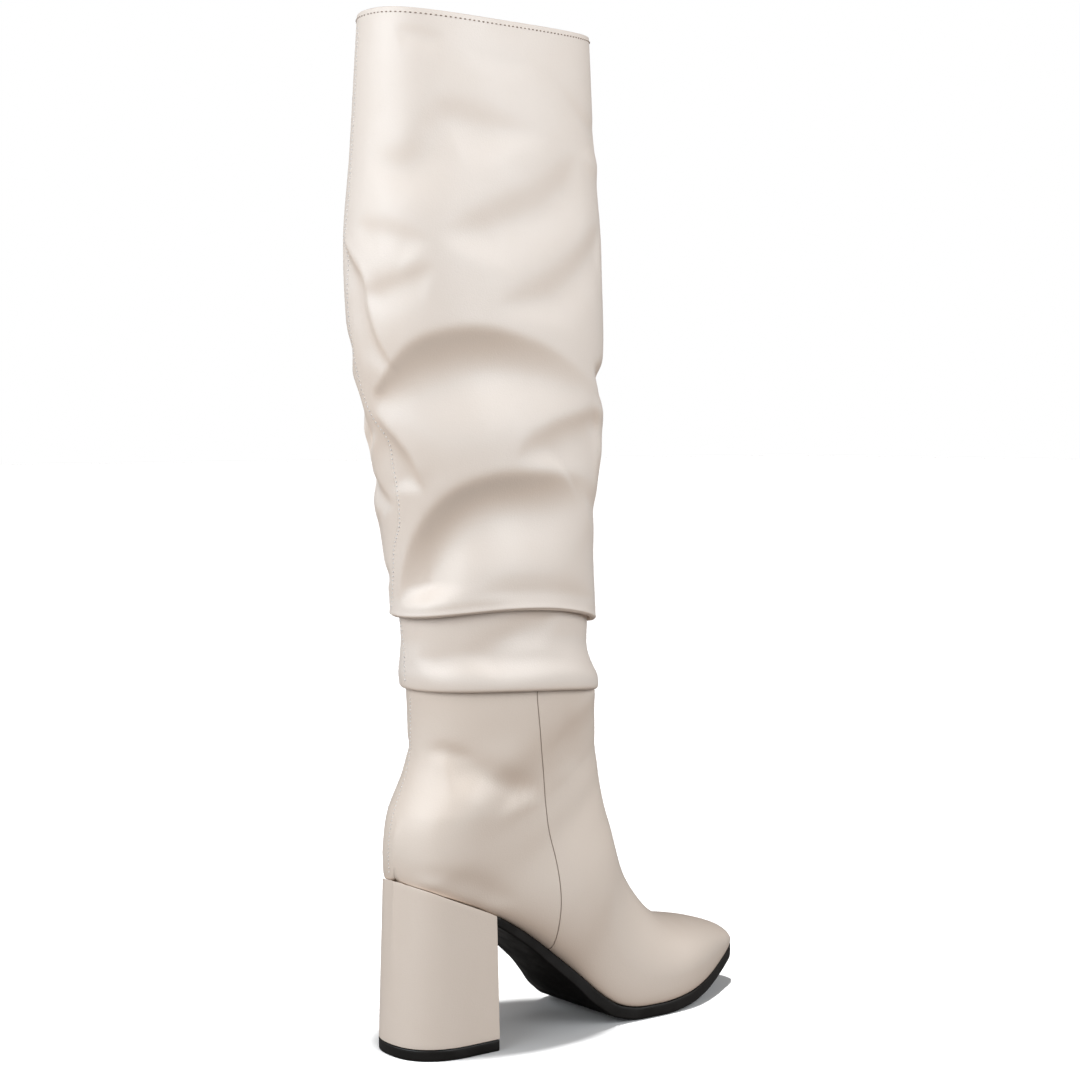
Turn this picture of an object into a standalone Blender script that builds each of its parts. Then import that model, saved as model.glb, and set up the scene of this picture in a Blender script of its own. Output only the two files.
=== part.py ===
"""Knee-high slouch boot on a covered block heel, for the right foot, standing empty on its sole.

The frame is in metres. The origin is the middle of the heel's tread on the floor, +X points to
the toe, +Y to the inner side of the foot and +Z up.
"""

import functools
import math
from collections import namedtuple

import bmesh
import bpy
import numpy as np

# The foot and its last
FOOT_LENGTH = 0.2375  # level length, from the back of the counter to the toe tip
COUNTER_BACK = 0.0225  # how far the counter's back lies behind the middle of the heel tread
BALL_WIDTH = 0.0770  # widest part of the forepart, side to side
SECTION_RISE = 0.1000  # the measure for how far the ridge climbs over the base of a girth plane
HEEL_HEIGHT = 0.0890  # floor to the back of the heel seat
TOE_SPRING = 0.0150  # floor to the underside of the sole at the toe tip
ANKLE_CLIMB = 0.1010  # back of the heel seat up to the top edge of the upper
UPPER_WALL = 0.0018  # leather with its lining

# The slouched shaft
SHAFT_HEIGHT = 0.3300  # top edge of the upper to the collar
SHAFT_DEPTH = 0.1440  # front to back at the calf
SHAFT_WIDTH = 0.0900  # side to side at the calf
SHAFT_WALL = 0.0012
FOLD_REACH = 0.0060  # the measure for how far the folds hang and stand out

# The sole, the heel and the insole
SOLE_THICKNESS = 0.0066  # forepart
WAIST_THICKNESS = 0.0046  # the sole under the arch
SOLE_MARGIN = 0.0010  # how far the sole's edge stands out past the upper
HEEL_DEPTH = 0.0490  # breast to back, at the tread
HEEL_WIDTH = 0.0550  # side to side, at the tread
LIFT_THICKNESS = 0.0058  # the rubber lift under the heel
INSOLE_THICKNESS = 0.0025
INSOLE_CLEARANCE = 0.0024  # from the upper's bottom edge to the insole's edge
JOINT_GAP = 0.0003  # between pieces that meet
CORNER_CUT = 0.0012  # the broken corners of the heel's breast

# How finely the solids are cut
FOOT_ROWS = 40
FOOT_COLUMNS = 28
SHAFT_COLUMNS = 36
SOLE_STATIONS = 36
HEEL_STATIONS = 14

LEATHER = ("leather", (0.80, 0.73, 0.65, 1.0), 0.45)
RUBBER = ("rubber", (0.012, 0.011, 0.010, 1.0), 0.40)
LINING = ("lining", (0.62, 0.52, 0.42, 1.0), 0.80)

FootSection = namedtuple(
    "FootSection",
    "along spring rise climb over up centre half ridge base widest low top",
)
# One row for each girth plane, from the toe tip round under the heel to the top of the ankle.
# along: base point, share of FOOT_LENGTH in front of the counter's back
# spring, rise, climb: height of the base point, shares of TOE_SPRING, HEEL_HEIGHT, ANKLE_CLIMB
# over: ridge point, share of FOOT_LENGTH; up: its height over the base point, of SECTION_RISE
# centre, half, ridge, base: middle line, half width, ridge line and half width at the sole,
# shares of BALL_WIDTH; widest: share of the way up where it is widest
# low, top: how square the section is below and above its widest place, 2 being an ellipse
FOOT_SECTIONS = (
    FootSection(1.000, 1.00, 0.000, 0.00, 1.000, 0.000, 0.162, 0.000, 0.162, 0.000, 0.40, 2.0, 2.0),
    FootSection(0.995, 0.98, 0.000, 0.00, 0.999, 0.039, 0.162, 0.086, 0.162, 0.078, 0.40, 2.0, 2.0),
    FootSection(0.981, 0.91, 0.000, 0.00, 0.987, 0.089, 0.164, 0.143, 0.164, 0.125, 0.40, 2.0, 2.0),
    FootSection(0.954, 0.79, 0.000, 0.00, 0.962, 0.146, 0.168, 0.210, 0.166, 0.184, 0.40, 2.1, 2.1),
    FootSection(0.916, 0.63, 0.000, 0.00, 0.924, 0.205, 0.164, 0.278, 0.161, 0.251, 0.38, 2.2, 2.2),
    FootSection(0.865, 0.44, 0.000, 0.00, 0.876, 0.269, 0.156, 0.364, 0.149, 0.334, 0.36, 2.3, 2.2),
    FootSection(0.806, 0.26, 0.000, 0.00, 0.823, 0.326, 0.143, 0.442, 0.125, 0.413, 0.34, 2.4, 2.1),
    FootSection(0.739, 0.10, 0.000, 0.00, 0.768, 0.379, 0.122, 0.488, 0.091, 0.462, 0.32, 2.4, 2.0),
    FootSection(0.672, 0.00, 0.000, 0.00, 0.720, 0.436, 0.114, 0.500, 0.058, 0.473, 0.30, 2.4, 1.9),
    FootSection(0.604, 0.00, 0.000, 0.00, 0.674, 0.511, 0.104, 0.491, 0.026, 0.457, 0.30, 2.4, 1.9),
    FootSection(0.545, 0.00, 0.030, 0.00, 0.632, 0.591, 0.081, 0.462, 0.000, 0.421, 0.30, 2.4, 1.9),
    FootSection(0.486, 0.00, 0.135, 0.00, 0.598, 0.610, 0.052, 0.435, -0.013, 0.377, 0.33, 2.3, 1.9),
    FootSection(0.427, 0.00, 0.286, 0.00, 0.573, 0.596, 0.016, 0.416, -0.019, 0.323, 0.36, 2.2, 2.0),
    FootSection(0.368, 0.00, 0.424, 0.00, 0.556, 0.588, -0.027, 0.409, -0.026, 0.271, 0.39, 2.2, 2.1),
    FootSection(0.309, 0.00, 0.559, 0.00, 0.544, 0.572, -0.036, 0.406, -0.026, 0.257, 0.41, 2.2, 2.2),
    FootSection(0.251, 0.00, 0.671, 0.00, 0.534, 0.565, -0.027, 0.405, -0.026, 0.275, 0.43, 2.2, 2.2),
    FootSection(0.192, 0.00, 0.766, 0.00, 0.528, 0.572, -0.012, 0.405, -0.019, 0.304, 0.44, 2.2, 2.3),
    FootSection(0.124, 0.00, 0.851, 0.00, 0.523, 0.587, 0.000, 0.408, -0.013, 0.322, 0.45, 2.2, 2.3),
    FootSection(0.069, 0.00, 0.917, 0.00, 0.518, 0.608, 0.000, 0.410, -0.006, 0.309, 0.46, 2.2, 2.3),
    FootSection(0.036, 0.00, 0.961, 0.00, 0.515, 0.632, 0.000, 0.410, 0.000, 0.251, 0.46, 2.4, 2.3),
    FootSection(0.017, 0.00, 0.984, 0.00, 0.513, 0.663, 0.000, 0.410, 0.000, 0.156, 0.46, 2.8, 2.3),
    FootSection(0.006, 0.00, 1.000, 0.00, 0.512, 0.695, 0.000, 0.410, 0.000, 0.000, 0.46, 3.0, 2.3),
    FootSection(0.000, 0.00, 1.000, 0.12, 0.510, 0.635, 0.000, 0.418, 0.000, 0.000, 0.46, 2.7, 2.3),
    FootSection(0.002, 0.00, 1.000, 0.22, 0.509, 0.580, 0.000, 0.429, 0.000, 0.000, 0.46, 2.4, 2.2),
    FootSection(0.022, 0.00, 1.000, 0.35, 0.508, 0.505, 0.000, 0.443, 0.000, 0.000, 0.47, 2.2, 2.2),
    FootSection(0.049, 0.00, 1.000, 0.49, 0.507, 0.420, 0.000, 0.461, 0.000, 0.000, 0.48, 2.0, 2.2),
    FootSection(0.065, 0.00, 1.000, 0.63, 0.507, 0.315, 0.000, 0.475, 0.000, 0.000, 0.49, 2.0, 2.1),
    FootSection(0.069, 0.00, 1.000, 0.80, 0.506, 0.176, 0.000, 0.483, 0.000, 0.000, 0.50, 2.1, 2.1),
    FootSection(0.065, 0.00, 1.000, 1.00, 0.505, 0.000, 0.000, 0.487, 0.000, 0.000, 0.50, 2.1, 2.1),
)

ShaftRing = namedtuple("ShaftRing", "height centre depth width square")
# One row for each level of the shaft above the ankle.
# height: share of SHAFT_HEIGHT; centre: middle of the ring, share of SHAFT_DEPTH in front of the
# heel tread's middle; depth, width: shares of SHAFT_DEPTH and SHAFT_WIDTH; square: 2 is an ellipse
SHAFT_RINGS = (
    ShaftRing(0.050, 0.293, 0.731, 0.844, 2.1),
    ShaftRing(0.110, 0.286, 0.736, 0.856, 2.1),
    ShaftRing(0.125, 0.281, 0.792, 0.944, 2.2),
    ShaftRing(0.200, 0.267, 0.794, 0.978, 2.2),
    ShaftRing(0.300, 0.254, 0.833, 1.022, 2.3),
    ShaftRing(0.420, 0.231, 0.917, 1.044, 2.3),
    ShaftRing(0.550, 0.214, 0.990, 1.029, 2.3),
    ShaftRing(0.660, 0.204, 1.000, 1.000, 2.3),
    ShaftRing(0.800, 0.204, 0.953, 0.929, 2.3),
    ShaftRing(1.000, 0.206, 0.912, 0.800, 2.4),
)

ShaftRow = namedtuple("ShaftRow", "height drop reach lift tip")
# The shaft's course from its hidden end beside the upper, round both folds, to the first calf row.
# height: share of SHAFT_HEIGHT; drop and reach: down and outward; lift: up at both sides;
# tip: down in front, up at the back; all four are shares of FOLD_REACH
SHAFT_ROWS = (
    ShaftRow(0.000, 0.42, 0.13, 0.30, 0.1),
    ShaftRow(0.000, 0.70, 0.12, 0.30, 0.1),
    ShaftRow(0.000, 0.90, 0.20, 0.30, 0.1),
    ShaftRow(0.000, 0.98, 0.34, 0.30, 0.1),
    ShaftRow(0.000, 0.88, 0.52, 0.30, 0.1),
    ShaftRow(0.000, 0.58, 0.62, 0.30, 0.1),
    ShaftRow(0.008, 0.00, 0.60, 0.32, 0.1),
    ShaftRow(0.028, 0.00, 0.24, 0.38, 0.1),
    ShaftRow(0.055, 0.00, -0.08, 0.45, 0.1),
    ShaftRow(0.080, 0.00, -0.05, 0.55, 0.2),
    ShaftRow(0.100, 0.00, 0.00, 0.65, 0.3),
    ShaftRow(0.110, -0.17, 0.00, 0.69, 0.3),
    ShaftRow(0.110, -0.32, 0.09, 0.69, 0.3),
    ShaftRow(0.110, -0.20, 0.20, 0.69, 0.3),
    ShaftRow(0.110, 0.13, 0.23, 0.69, 0.3),
    ShaftRow(0.110, 0.37, 0.35, 0.69, 0.3),
    ShaftRow(0.110, 0.45, 0.52, 0.69, 0.3),
    ShaftRow(0.110, 0.35, 0.68, 0.69, 0.3),
    ShaftRow(0.110, 0.10, 0.78, 0.69, 0.3),
    ShaftRow(0.125, 0.00, 0.00, 0.65, 0.3),
)
CALF_ROWS = 24  # even rows from the last of those up to the collar

Dent = namedtuple("Dent", "turn height length breadth tilt arch depth")
# The main troughs of the slouch. turn: share of the way round, 0 at the back seam, 0.25 at the
# outer side and 0.5 in front; height: share of SHAFT_HEIGHT; length and breadth: half sizes, in
# turns and in shares of SHAFT_HEIGHT; tilt and arch: how it climbs and bows along its length,
# shares of SHAFT_HEIGHT; depth: share of FOLD_REACH, a minus sign being a ridge
DENTS = (
    Dent(0.200, 0.485, 0.160, 0.036, 0.000, -0.045, 0.75),
    Dent(0.170, 0.280, 0.140, 0.034, 0.060, -0.055, 0.75),
    Dent(0.310, 0.370, 0.080, 0.026, 0.035, -0.010, 0.45),
    Dent(0.370, 0.395, 0.070, 0.030, 0.010, 0.000, -0.40),
    Dent(0.015, 0.350, 0.050, 0.026, -0.030, 0.000, 0.40),
    Dent(0.960, 0.405, 0.050, 0.030, -0.020, 0.000, -0.35),
    Dent(0.010, 0.570, 0.050, 0.030, -0.080, 0.000, 0.35),
    Dent(0.060, 0.775, 0.070, 0.034, 0.010, 0.000, 0.30),
    Dent(0.190, 0.850, 0.090, 0.036, 0.000, 0.000, 0.25),
    Dent(0.070, 0.665, 0.060, 0.030, -0.018, 0.000, 0.30),
    Dent(0.270, 0.715, 0.080, 0.032, 0.045, 0.000, 0.30),
    Dent(0.320, 0.610, 0.080, 0.032, 0.050, 0.000, 0.35),
    Dent(0.380, 0.845, 0.060, 0.030, -0.020, 0.000, 0.35),
    Dent(0.520, 0.300, 0.110, 0.034, 0.020, -0.020, 0.50),
    Dent(0.560, 0.500, 0.100, 0.036, -0.020, -0.030, 0.50),
    Dent(0.780, 0.455, 0.150, 0.036, -0.010, -0.050, 0.70),
    Dent(0.700, 0.255, 0.130, 0.034, -0.040, -0.050, 0.70),
    Dent(0.860, 0.330, 0.070, 0.028, 0.035, 0.000, 0.45),
    Dent(0.640, 0.650, 0.090, 0.034, 0.040, 0.000, 0.35),
    Dent(0.860, 0.740, 0.100, 0.036, -0.030, 0.000, 0.30),
)


def slopes(places, values):
    """Slopes of the smooth curve through the points: level at every turning point."""
    steps = np.diff(values) / np.diff(places)
    found = np.concatenate([steps[:1], np.zeros(len(steps) - 1), steps[-1:]])
    for i in range(1, len(steps)):
        before, after = steps[i - 1], steps[i]
        if before * after > 0:
            found[i] = 2 * before * after / (before + after)
    return found


def steady(places, values, at):
    """Value at one place of the smooth curve through the points. It never swings past a point."""
    places, values = np.asarray(places, float), np.asarray(values, float)
    tangents = slopes(places, values)
    i = int(np.clip(np.searchsorted(places, at) - 1, 0, len(places) - 2))
    span = places[i + 1] - places[i]
    t = (at - places[i]) / span
    return (
        values[i] * (1 + 2 * t) * (1 - t) ** 2
        + tangents[i] * span * t * (1 - t) ** 2
        + values[i + 1] * t * t * (3 - 2 * t)
        + tangents[i + 1] * span * t * t * (t - 1)
    )


def signed_power(value, power):
    return math.copysign(abs(value) ** power, value)


@functools.cache
def foot_section(place):
    """The girth plane at a place along FOOT_SECTIONS, whole numbers being its rows."""
    rows = range(len(FOOT_SECTIONS))
    return FootSection(*(steady(rows, column, place) for column in zip(*FOOT_SECTIONS)))


def base_point(section):
    """(x, z) where the girth plane meets the sole or, above the heel, the back seam."""
    forepart = SOLE_THICKNESS + JOINT_GAP
    rise = section.rise * (HEEL_HEIGHT - forepart)
    z = forepart + section.spring * TOE_SPRING + rise + section.climb * ANKLE_CLIMB
    return section.along * FOOT_LENGTH - COUNTER_BACK, z


def ridge_point(section):
    """(x, z) of the girth plane's highest place, over the instep or in front of the ankle."""
    return section.over * FOOT_LENGTH - COUNTER_BACK, base_point(section)[1] + section.up * SECTION_RISE


def foot_point(section, turn):
    """A point of the upper's outside. turn runs from the outer side's base over the top."""
    side = -1 if turn < 0.5 else 1
    angle = math.radians(-90 + 360 * min(turn, 1 - turn))
    across, up = math.cos(angle), math.sin(angle)
    if up < 0:
        bulge = section.half - section.base
        y = section.centre + side * (section.base + bulge * across ** (2 / section.low))
        share = section.widest * (1 - (-up) ** (2 / section.low))
    else:
        middle = section.centre + (section.ridge - section.centre) * up**2
        y = middle + side * section.half * max(across, 0.0) ** (2 / section.top)
        share = section.widest + (1 - section.widest) * up ** (2 / section.top)
    base, ridge = base_point(section), ridge_point(section)
    x = base[0] + share * (ridge[0] - base[0])
    z = base[1] + share * (ridge[1] - base[1])
    return (x, y * BALL_WIDTH, z)


def foot_grid():
    last = len(FOOT_SECTIONS) - 1
    sections = [foot_section(last * i / FOOT_ROWS) for i in range(FOOT_ROWS + 1)]
    turns = [j / FOOT_COLUMNS for j in range(FOOT_COLUMNS + 1)]
    return [[foot_point(section, turn) for turn in turns] for section in sections]


def ankle_ring():
    """The top edge of the upper: middle, half depth, half width and squareness."""
    top = FOOT_SECTIONS[-1]
    back, front = base_point(top)[0], ridge_point(top)[0]
    return (back + front) / 2, (front - back) / 2, top.half * BALL_WIDTH, top.top


def shaft_ring(height):
    """Middle, half depth, half width and squareness of the shaft at a share of its height."""
    sizes = [ankle_ring()]
    for ring in SHAFT_RINGS:
        half_depth, half_width = ring.depth * SHAFT_DEPTH / 2, ring.width * SHAFT_WIDTH / 2
        sizes.append((ring.centre * SHAFT_DEPTH, half_depth, half_width, ring.square))
    heights = [0.0] + [ring.height for ring in SHAFT_RINGS]
    return [steady(heights, column, height) for column in zip(*sizes)]


def dent_depth(turn, height):
    """How far the slouch's troughs press the leather in, as a share of FOLD_REACH."""
    total = 0.0
    for dent in DENTS:
        u = ((turn - dent.turn + 0.5) % 1.0 - 0.5) / dent.length
        line = dent.height + dent.tilt * u + dent.arch * u * u
        v = (height - line) / dent.breadth
        total += dent.depth * math.exp(-u * u - v * v)
    return total


def shaft_points(row):
    """One ring of the shaft's outside."""
    middle, half_depth, half_width, square = shaft_ring(row.height)
    level = HEEL_HEIGHT + ANKLE_CLIMB + row.height * SHAFT_HEIGHT
    points = []
    for j in range(SHAFT_COLUMNS):
        turn = j / SHAFT_COLUMNS
        angle = 2 * math.pi * turn
        out_x, out_y = -math.cos(angle), -math.sin(angle)
        x = middle + half_depth * signed_power(out_x, 2 / square)
        y = half_width * signed_power(out_y, 2 / square)
        sideways = math.hypot(out_x / half_depth, out_y / half_width)
        reach = (row.reach - dent_depth(turn, row.height)) * FOLD_REACH / sideways
        rise = (-math.cos(2 * angle) * row.lift - out_x * row.tip - row.drop) * FOLD_REACH
        points.append((x + reach * out_x / half_depth, y + reach * out_y / half_width, level + rise))
    return points


def shaft_grid():
    last = SHAFT_ROWS[-1]
    rows = list(SHAFT_ROWS)
    for i in range(1, CALF_ROWS + 1):
        share = i / CALF_ROWS
        height = last.height + (1 - last.height) * share
        fading = (1 - share) ** 2
        rows.append(ShaftRow(height, 0.0, 0.0, last.lift * fading, last.tip * fading))
    return [shaft_points(row) for row in rows]


def material(spec):
    name, colour, roughness = spec
    found = bpy.data.materials.get(name) or bpy.data.materials.new(name)
    found.use_nodes = True
    shader = found.node_tree.nodes["Principled BSDF"]
    shader.inputs["Base Color"].default_value = colour
    shader.inputs["Roughness"].default_value = roughness
    shader.inputs["Metallic"].default_value = 0.0
    return found


def mesh_object(name, points, faces, finish, collection):
    """One smooth-shaded object from points and faces, doubles merged."""
    mesh = bpy.data.meshes.new(name)
    mesh.from_pydata(points, [], faces)
    builder = bmesh.new()
    builder.from_mesh(mesh)
    bmesh.ops.remove_doubles(builder, verts=builder.verts, dist=JOINT_GAP / 10)
    bmesh.ops.recalc_face_normals(builder, faces=builder.faces)
    builder.to_mesh(mesh)
    builder.free()
    mesh.shade_smooth()
    mesh.set_sharp_from_angle(angle=math.radians(40))
    mesh.materials.append(material(finish))
    made = bpy.data.objects.new(name, mesh)
    collection.objects.link(made)
    return made


def grid_faces(rows, columns, closed):
    """Quads between neighbouring rows. A closed grid joins its last column to its first."""
    count = columns if closed else columns - 1
    faces = []
    for i in range(rows - 1):
        for j in range(count):
            here, there = i * columns, (i + 1) * columns
            across = (j + 1) % columns
            faces.append((here + j, here + across, there + across, there + j))
    return faces


def sheet_object(name, grid, closed, wall, finish, collection):
    """A leather sheet of even thickness, its grid being the outside face."""
    points = [point for row in grid for point in row]
    faces = grid_faces(len(grid), len(grid[0]), closed)
    made = mesh_object(name, points, faces, finish, collection)
    thicken = made.modifiers.new("Wall", "SOLIDIFY")
    thicken.thickness = wall
    thicken.offset = -1
    thicken.use_even_offset = True
    thicken.use_quality_normals = True
    return made


def loft_object(name, rings, finish, collection):
    """A closed solid through rings of equal count. A ring with no width ends in an edge."""
    points = [point for ring in rings for point in ring]
    count = len(rings[0])
    faces = grid_faces(len(rings), count, True)
    faces.append(tuple(range(count))[::-1])
    faces.append(tuple(range(len(points) - count, len(points))))
    return mesh_object(name, points, faces, finish, collection)


@functools.cache
def seat_line():
    """The upper's base from the back of the heel seat to the toe tip, in close steps.

    Columns: x, z, the middle line's y and the half width of the opening."""
    heel_end = min(i for i, row in enumerate(FOOT_SECTIONS) if i and row.base == 0)
    steps = [foot_section(place) for place in np.linspace(heel_end, 0, heel_end * 8 + 1)]
    middles = [(step.centre * BALL_WIDTH, step.base * BALL_WIDTH) for step in steps]
    return np.array([base_point(step) + middle for step, middle in zip(steps, middles)])


def seat_height(x):
    line = seat_line()
    return float(np.interp(x, line[:, 0], line[:, 1]))


def steepness(x):
    """Length along the base line for each unit of level length."""
    step = BALL_WIDTH / 50
    return math.hypot(1, (seat_height(x + step) - seat_height(x - step)) / (2 * step))


def outline_sides(margin):
    """The base outline moved outward: its outer and its inner side, heel to toe, rows of (x, y)."""
    line = seat_line()
    sides = []
    for side in (-1, 1):
        curve = np.stack([line[:, 0], line[:, 2] + side * line[:, 3]], axis=1)
        run = np.gradient(curve, axis=0)
        run[0], run[-1] = (0, side), (0, -side)
        run /= np.linalg.norm(run, axis=1)[:, None]
        sides.append(curve + margin * side * np.stack([-run[:, 1], run[:, 0]], axis=1))
    return sides


def layer_rings(back, front, margin, over, thickness):
    """Rings of a layer that follows the base line, from its back to its front.

    over: its underside's height over the base line; thickness: a function of x."""
    outer, inner = outline_sides(margin)
    front = min(front, outer[-1, 0])
    middle, half = (front + back) / 2, (front - back) / 2
    rings = []
    for i in range(SOLE_STATIONS + 1):
        x = middle - half * math.cos(math.pi * i / SOLE_STATIONS)
        left, right = (float(np.interp(x, side[:, 0], side[:, 1])) for side in (outer, inner))
        low = seat_height(x) + over * steepness(x)
        high = low + thickness(x) * steepness(x)
        rings.append([(x, left, high), (x, right, high), (x, right, low), (x, left, low)])
    return rings


def outsole_rings():
    """From the heel's breast to the toe tip. The sole thins under the arch."""
    breast = HEEL_DEPTH / 2 + JOINT_GAP
    toe = FOOT_LENGTH - COUNTER_BACK + SOLE_MARGIN
    ball = breast + (toe - breast) / 2
    rings = layer_rings(breast, toe, SOLE_MARGIN, 0.0, lambda x: JOINT_GAP)
    for ring in rings:
        share = steady((breast, ball, toe), (0.0, 1.0, 1.0), ring[0][0])
        depth = WAIST_THICKNESS + (SOLE_THICKNESS - WAIST_THICKNESS) * share
        x = ring[0][0]
        high = seat_height(x) - JOINT_GAP * steepness(x)
        low = high - depth * steepness(x)
        for k, z in enumerate((high, high, low, low)):
            ring[k] = (ring[k][0], ring[k][1], z)
    return rings


def insole_rings():
    outer = outline_sides(-INSOLE_CLEARANCE)[0]
    back, front = outer[0, 0], outer[-1, 0]
    return layer_rings(back, front, -INSOLE_CLEARANCE, 0.0, lambda x: INSOLE_THICKNESS)


def heel_shares():
    """Places from the breast at 0 to the back at 1, close together where the outline turns."""
    return [math.sin(math.pi / 2 * i / HEEL_STATIONS) for i in range(HEEL_STATIONS + 1)]


def tread_outline(share):
    """(x, half width) of the heel's tread."""
    straight, square = 0.35, 2.4
    bend = max(0.0, share - straight) / (1 - straight)
    half = HEEL_WIDTH / 2 * (1 - bend**square) ** (1 / square)
    return HEEL_DEPTH * (0.5 - share), half


def cut_corner(share):
    return CORNER_CUT if share == 0 else 0.0


def heel_rings():
    """From the breast to the back: each ring runs down one side of the block and up the other."""
    outer, inner = outline_sides(SOLE_MARGIN)
    front, back = HEEL_DEPTH / 2, outer[0, 0]
    low = LIFT_THICKNESS + JOINT_GAP
    rings = []
    for share in heel_shares():
        x, half = tread_outline(share)
        top_x = front + (back - front) * share
        left, right = (float(np.interp(top_x, side[:, 0], side[:, 1])) for side in (outer, inner))
        top = seat_height(top_x) - JOINT_GAP * steepness(top_x)
        cut = cut_corner(share)
        high = [(top_x, left + cut, top), (top_x, right - cut, top)]
        rings.append(high + [(x, half - cut, low), (x, -half + cut, low)])
    return rings


def lift_rings():
    rings = []
    for share in heel_shares():
        x, half = tread_outline(share)
        half -= cut_corner(share)
        high, low = LIFT_THICKNESS, 0.0
        rings.append([(x, -half, high), (x, half, high), (x, half, low), (x, -half, low)])
    return rings


def main():
    for obj in list(bpy.data.objects):
        bpy.data.objects.remove(obj)
    boot = bpy.data.collections.new("slouch_boot")
    bpy.context.scene.collection.children.link(boot)
    sheet_object("upper", foot_grid(), False, UPPER_WALL, LEATHER, boot)
    sheet_object("shaft", shaft_grid(), True, SHAFT_WALL, LEATHER, boot)
    loft_object("outsole", outsole_rings(), RUBBER, boot)
    loft_object("heel", heel_rings(), LEATHER, boot)
    loft_object("top_lift", lift_rings(), RUBBER, boot)
    loft_object("insole", insole_rings(), LINING, boot)


main()
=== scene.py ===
import math

import bmesh
import bpy
import numpy as np
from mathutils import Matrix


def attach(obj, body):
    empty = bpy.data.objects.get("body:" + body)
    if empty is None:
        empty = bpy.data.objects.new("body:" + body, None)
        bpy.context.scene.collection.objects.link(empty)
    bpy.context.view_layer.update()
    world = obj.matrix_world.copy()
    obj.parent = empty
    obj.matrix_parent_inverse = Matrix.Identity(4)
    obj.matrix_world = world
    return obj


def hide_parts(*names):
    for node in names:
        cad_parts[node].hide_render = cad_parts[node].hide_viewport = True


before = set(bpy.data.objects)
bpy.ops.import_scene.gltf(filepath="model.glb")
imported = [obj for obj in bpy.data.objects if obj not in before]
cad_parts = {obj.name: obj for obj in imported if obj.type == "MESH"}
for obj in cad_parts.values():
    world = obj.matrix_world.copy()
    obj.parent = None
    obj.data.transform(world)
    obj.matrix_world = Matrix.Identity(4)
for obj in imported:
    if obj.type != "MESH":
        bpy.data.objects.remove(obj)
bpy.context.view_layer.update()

mm = 0.001
print("Slouch boot: frame loaded with", ", ".join(sorted(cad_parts)))

# All tables below are in millimetres: the origin is under the middle of the heel, +X runs to the
# toe, +Y to the inner side of the foot and +Z up.


# Curves and sheets

def easyCurve(places, values, at):
    # smooth curve through the points, which never swings past one of them
    places, values, at = (np.asarray(part, float) for part in (places, values, at))
    steps = np.diff(values) / np.diff(places)
    slopes = np.concatenate([steps[:1], np.zeros(len(steps) - 1), steps[-1:]])
    same = steps[:-1] * steps[1:] > 0
    total = np.where(same, steps[:-1] + steps[1:], 1.0)
    slopes[1:-1] = np.where(same, 2 * steps[:-1] * steps[1:] / total, 0.0)
    i = np.clip(np.searchsorted(places, at) - 1, 0, len(places) - 2)
    span = places[i + 1] - places[i]
    t = (at - places[i]) / span
    start = values[i] * (1 + 2 * t) * (1 - t) ** 2 + slopes[i] * span * t * (1 - t) ** 2
    return start + values[i + 1] * t * t * (3 - 2 * t) + slopes[i + 1] * span * t * t * (t - 1)


def looseCurve(points, count):
    # count + 1 places along a flowing line through the points
    points = np.asarray(points, float)
    first, last = 2 * points[0] - points[1], 2 * points[-1] - points[-2]
    line = np.concatenate([[first], points, [last]])
    at = np.linspace(0, len(points) - 1, count + 1)
    i = np.minimum(at.astype(int), len(points) - 2)
    t = (at - i)[:, None]
    a, b, c, d = line[i], line[i + 1], line[i + 2], line[i + 3]
    bend = (2 * a - 5 * b + 4 * c - d) * t**2 + (3 * b - a - 3 * c + d) * t**3
    return 0.5 * (2 * b + (c - a) * t + bend)


def besideLine(flat, path):
    # distance of flat places from a drawn line, plus on its left, and the share of the way along
    line = looseCurve(path, 8 * (len(path) - 1))
    runs = np.diff(line, axis=0)
    lengths = np.hypot(runs[:, 0], runs[:, 1])
    travelled = np.concatenate([[0.0], np.cumsum(lengths)])
    distance = np.full(len(flat), 1e6)
    share = np.zeros(len(flat))
    for k, run in enumerate(runs):
        off = flat - line[k]
        t = np.clip(off @ run / lengths[k] ** 2, 0, 1)
        gap = np.hypot(off[:, 0] - t * run[0], off[:, 1] - t * run[1])
        nearer = gap < np.abs(distance)
        side = np.where(run[0] * off[:, 1] - run[1] * off[:, 0] < 0, -1.0, 1.0)
        distance[nearer] = (gap * side)[nearer]
        share[nearer] = ((travelled[k] + t * lengths[k]) / travelled[-1])[nearer]
    return distance, share


def underLine(flat, path):
    # like besideLine, but measured straight up and down, so wide arches stay smooth inside
    line = looseCurve(path, 8 * (len(path) - 1))
    along = np.linspace(line[0, 0], line[-1, 0], 120)
    height = np.interp(along, line[:, 0], line[:, 1])
    lean = evened(np.stack([1 / np.hypot(1, np.gradient(height, along))], axis=1), 30)[:, 0]
    share = np.clip((flat[:, 0] - along[0]) / (along[-1] - along[0]), 0, 1)
    distance = (flat[:, 1] - np.interp(flat[:, 0], along, height)) * np.interp(flat[:, 0], along, lean)
    return distance, share


def evened(grid, times):
    # softens the kinks between rows; the two end rows stay
    grid = grid.copy()
    for _ in range(times):
        grid[1:-1] = (grid[:-2] + 2 * grid[1:-1] + grid[2:]) / 4
    return grid


def ramp(distance, softness):
    # nothing on one side, the distance itself on the other, and a rounded corner between
    return softness * np.logaddexp(0.0, distance / softness)


def fadeIn(share, run):
    part = np.clip(share / max(run, 1e-3), 0, 1)
    return part * part * (3 - 2 * part)


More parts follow.
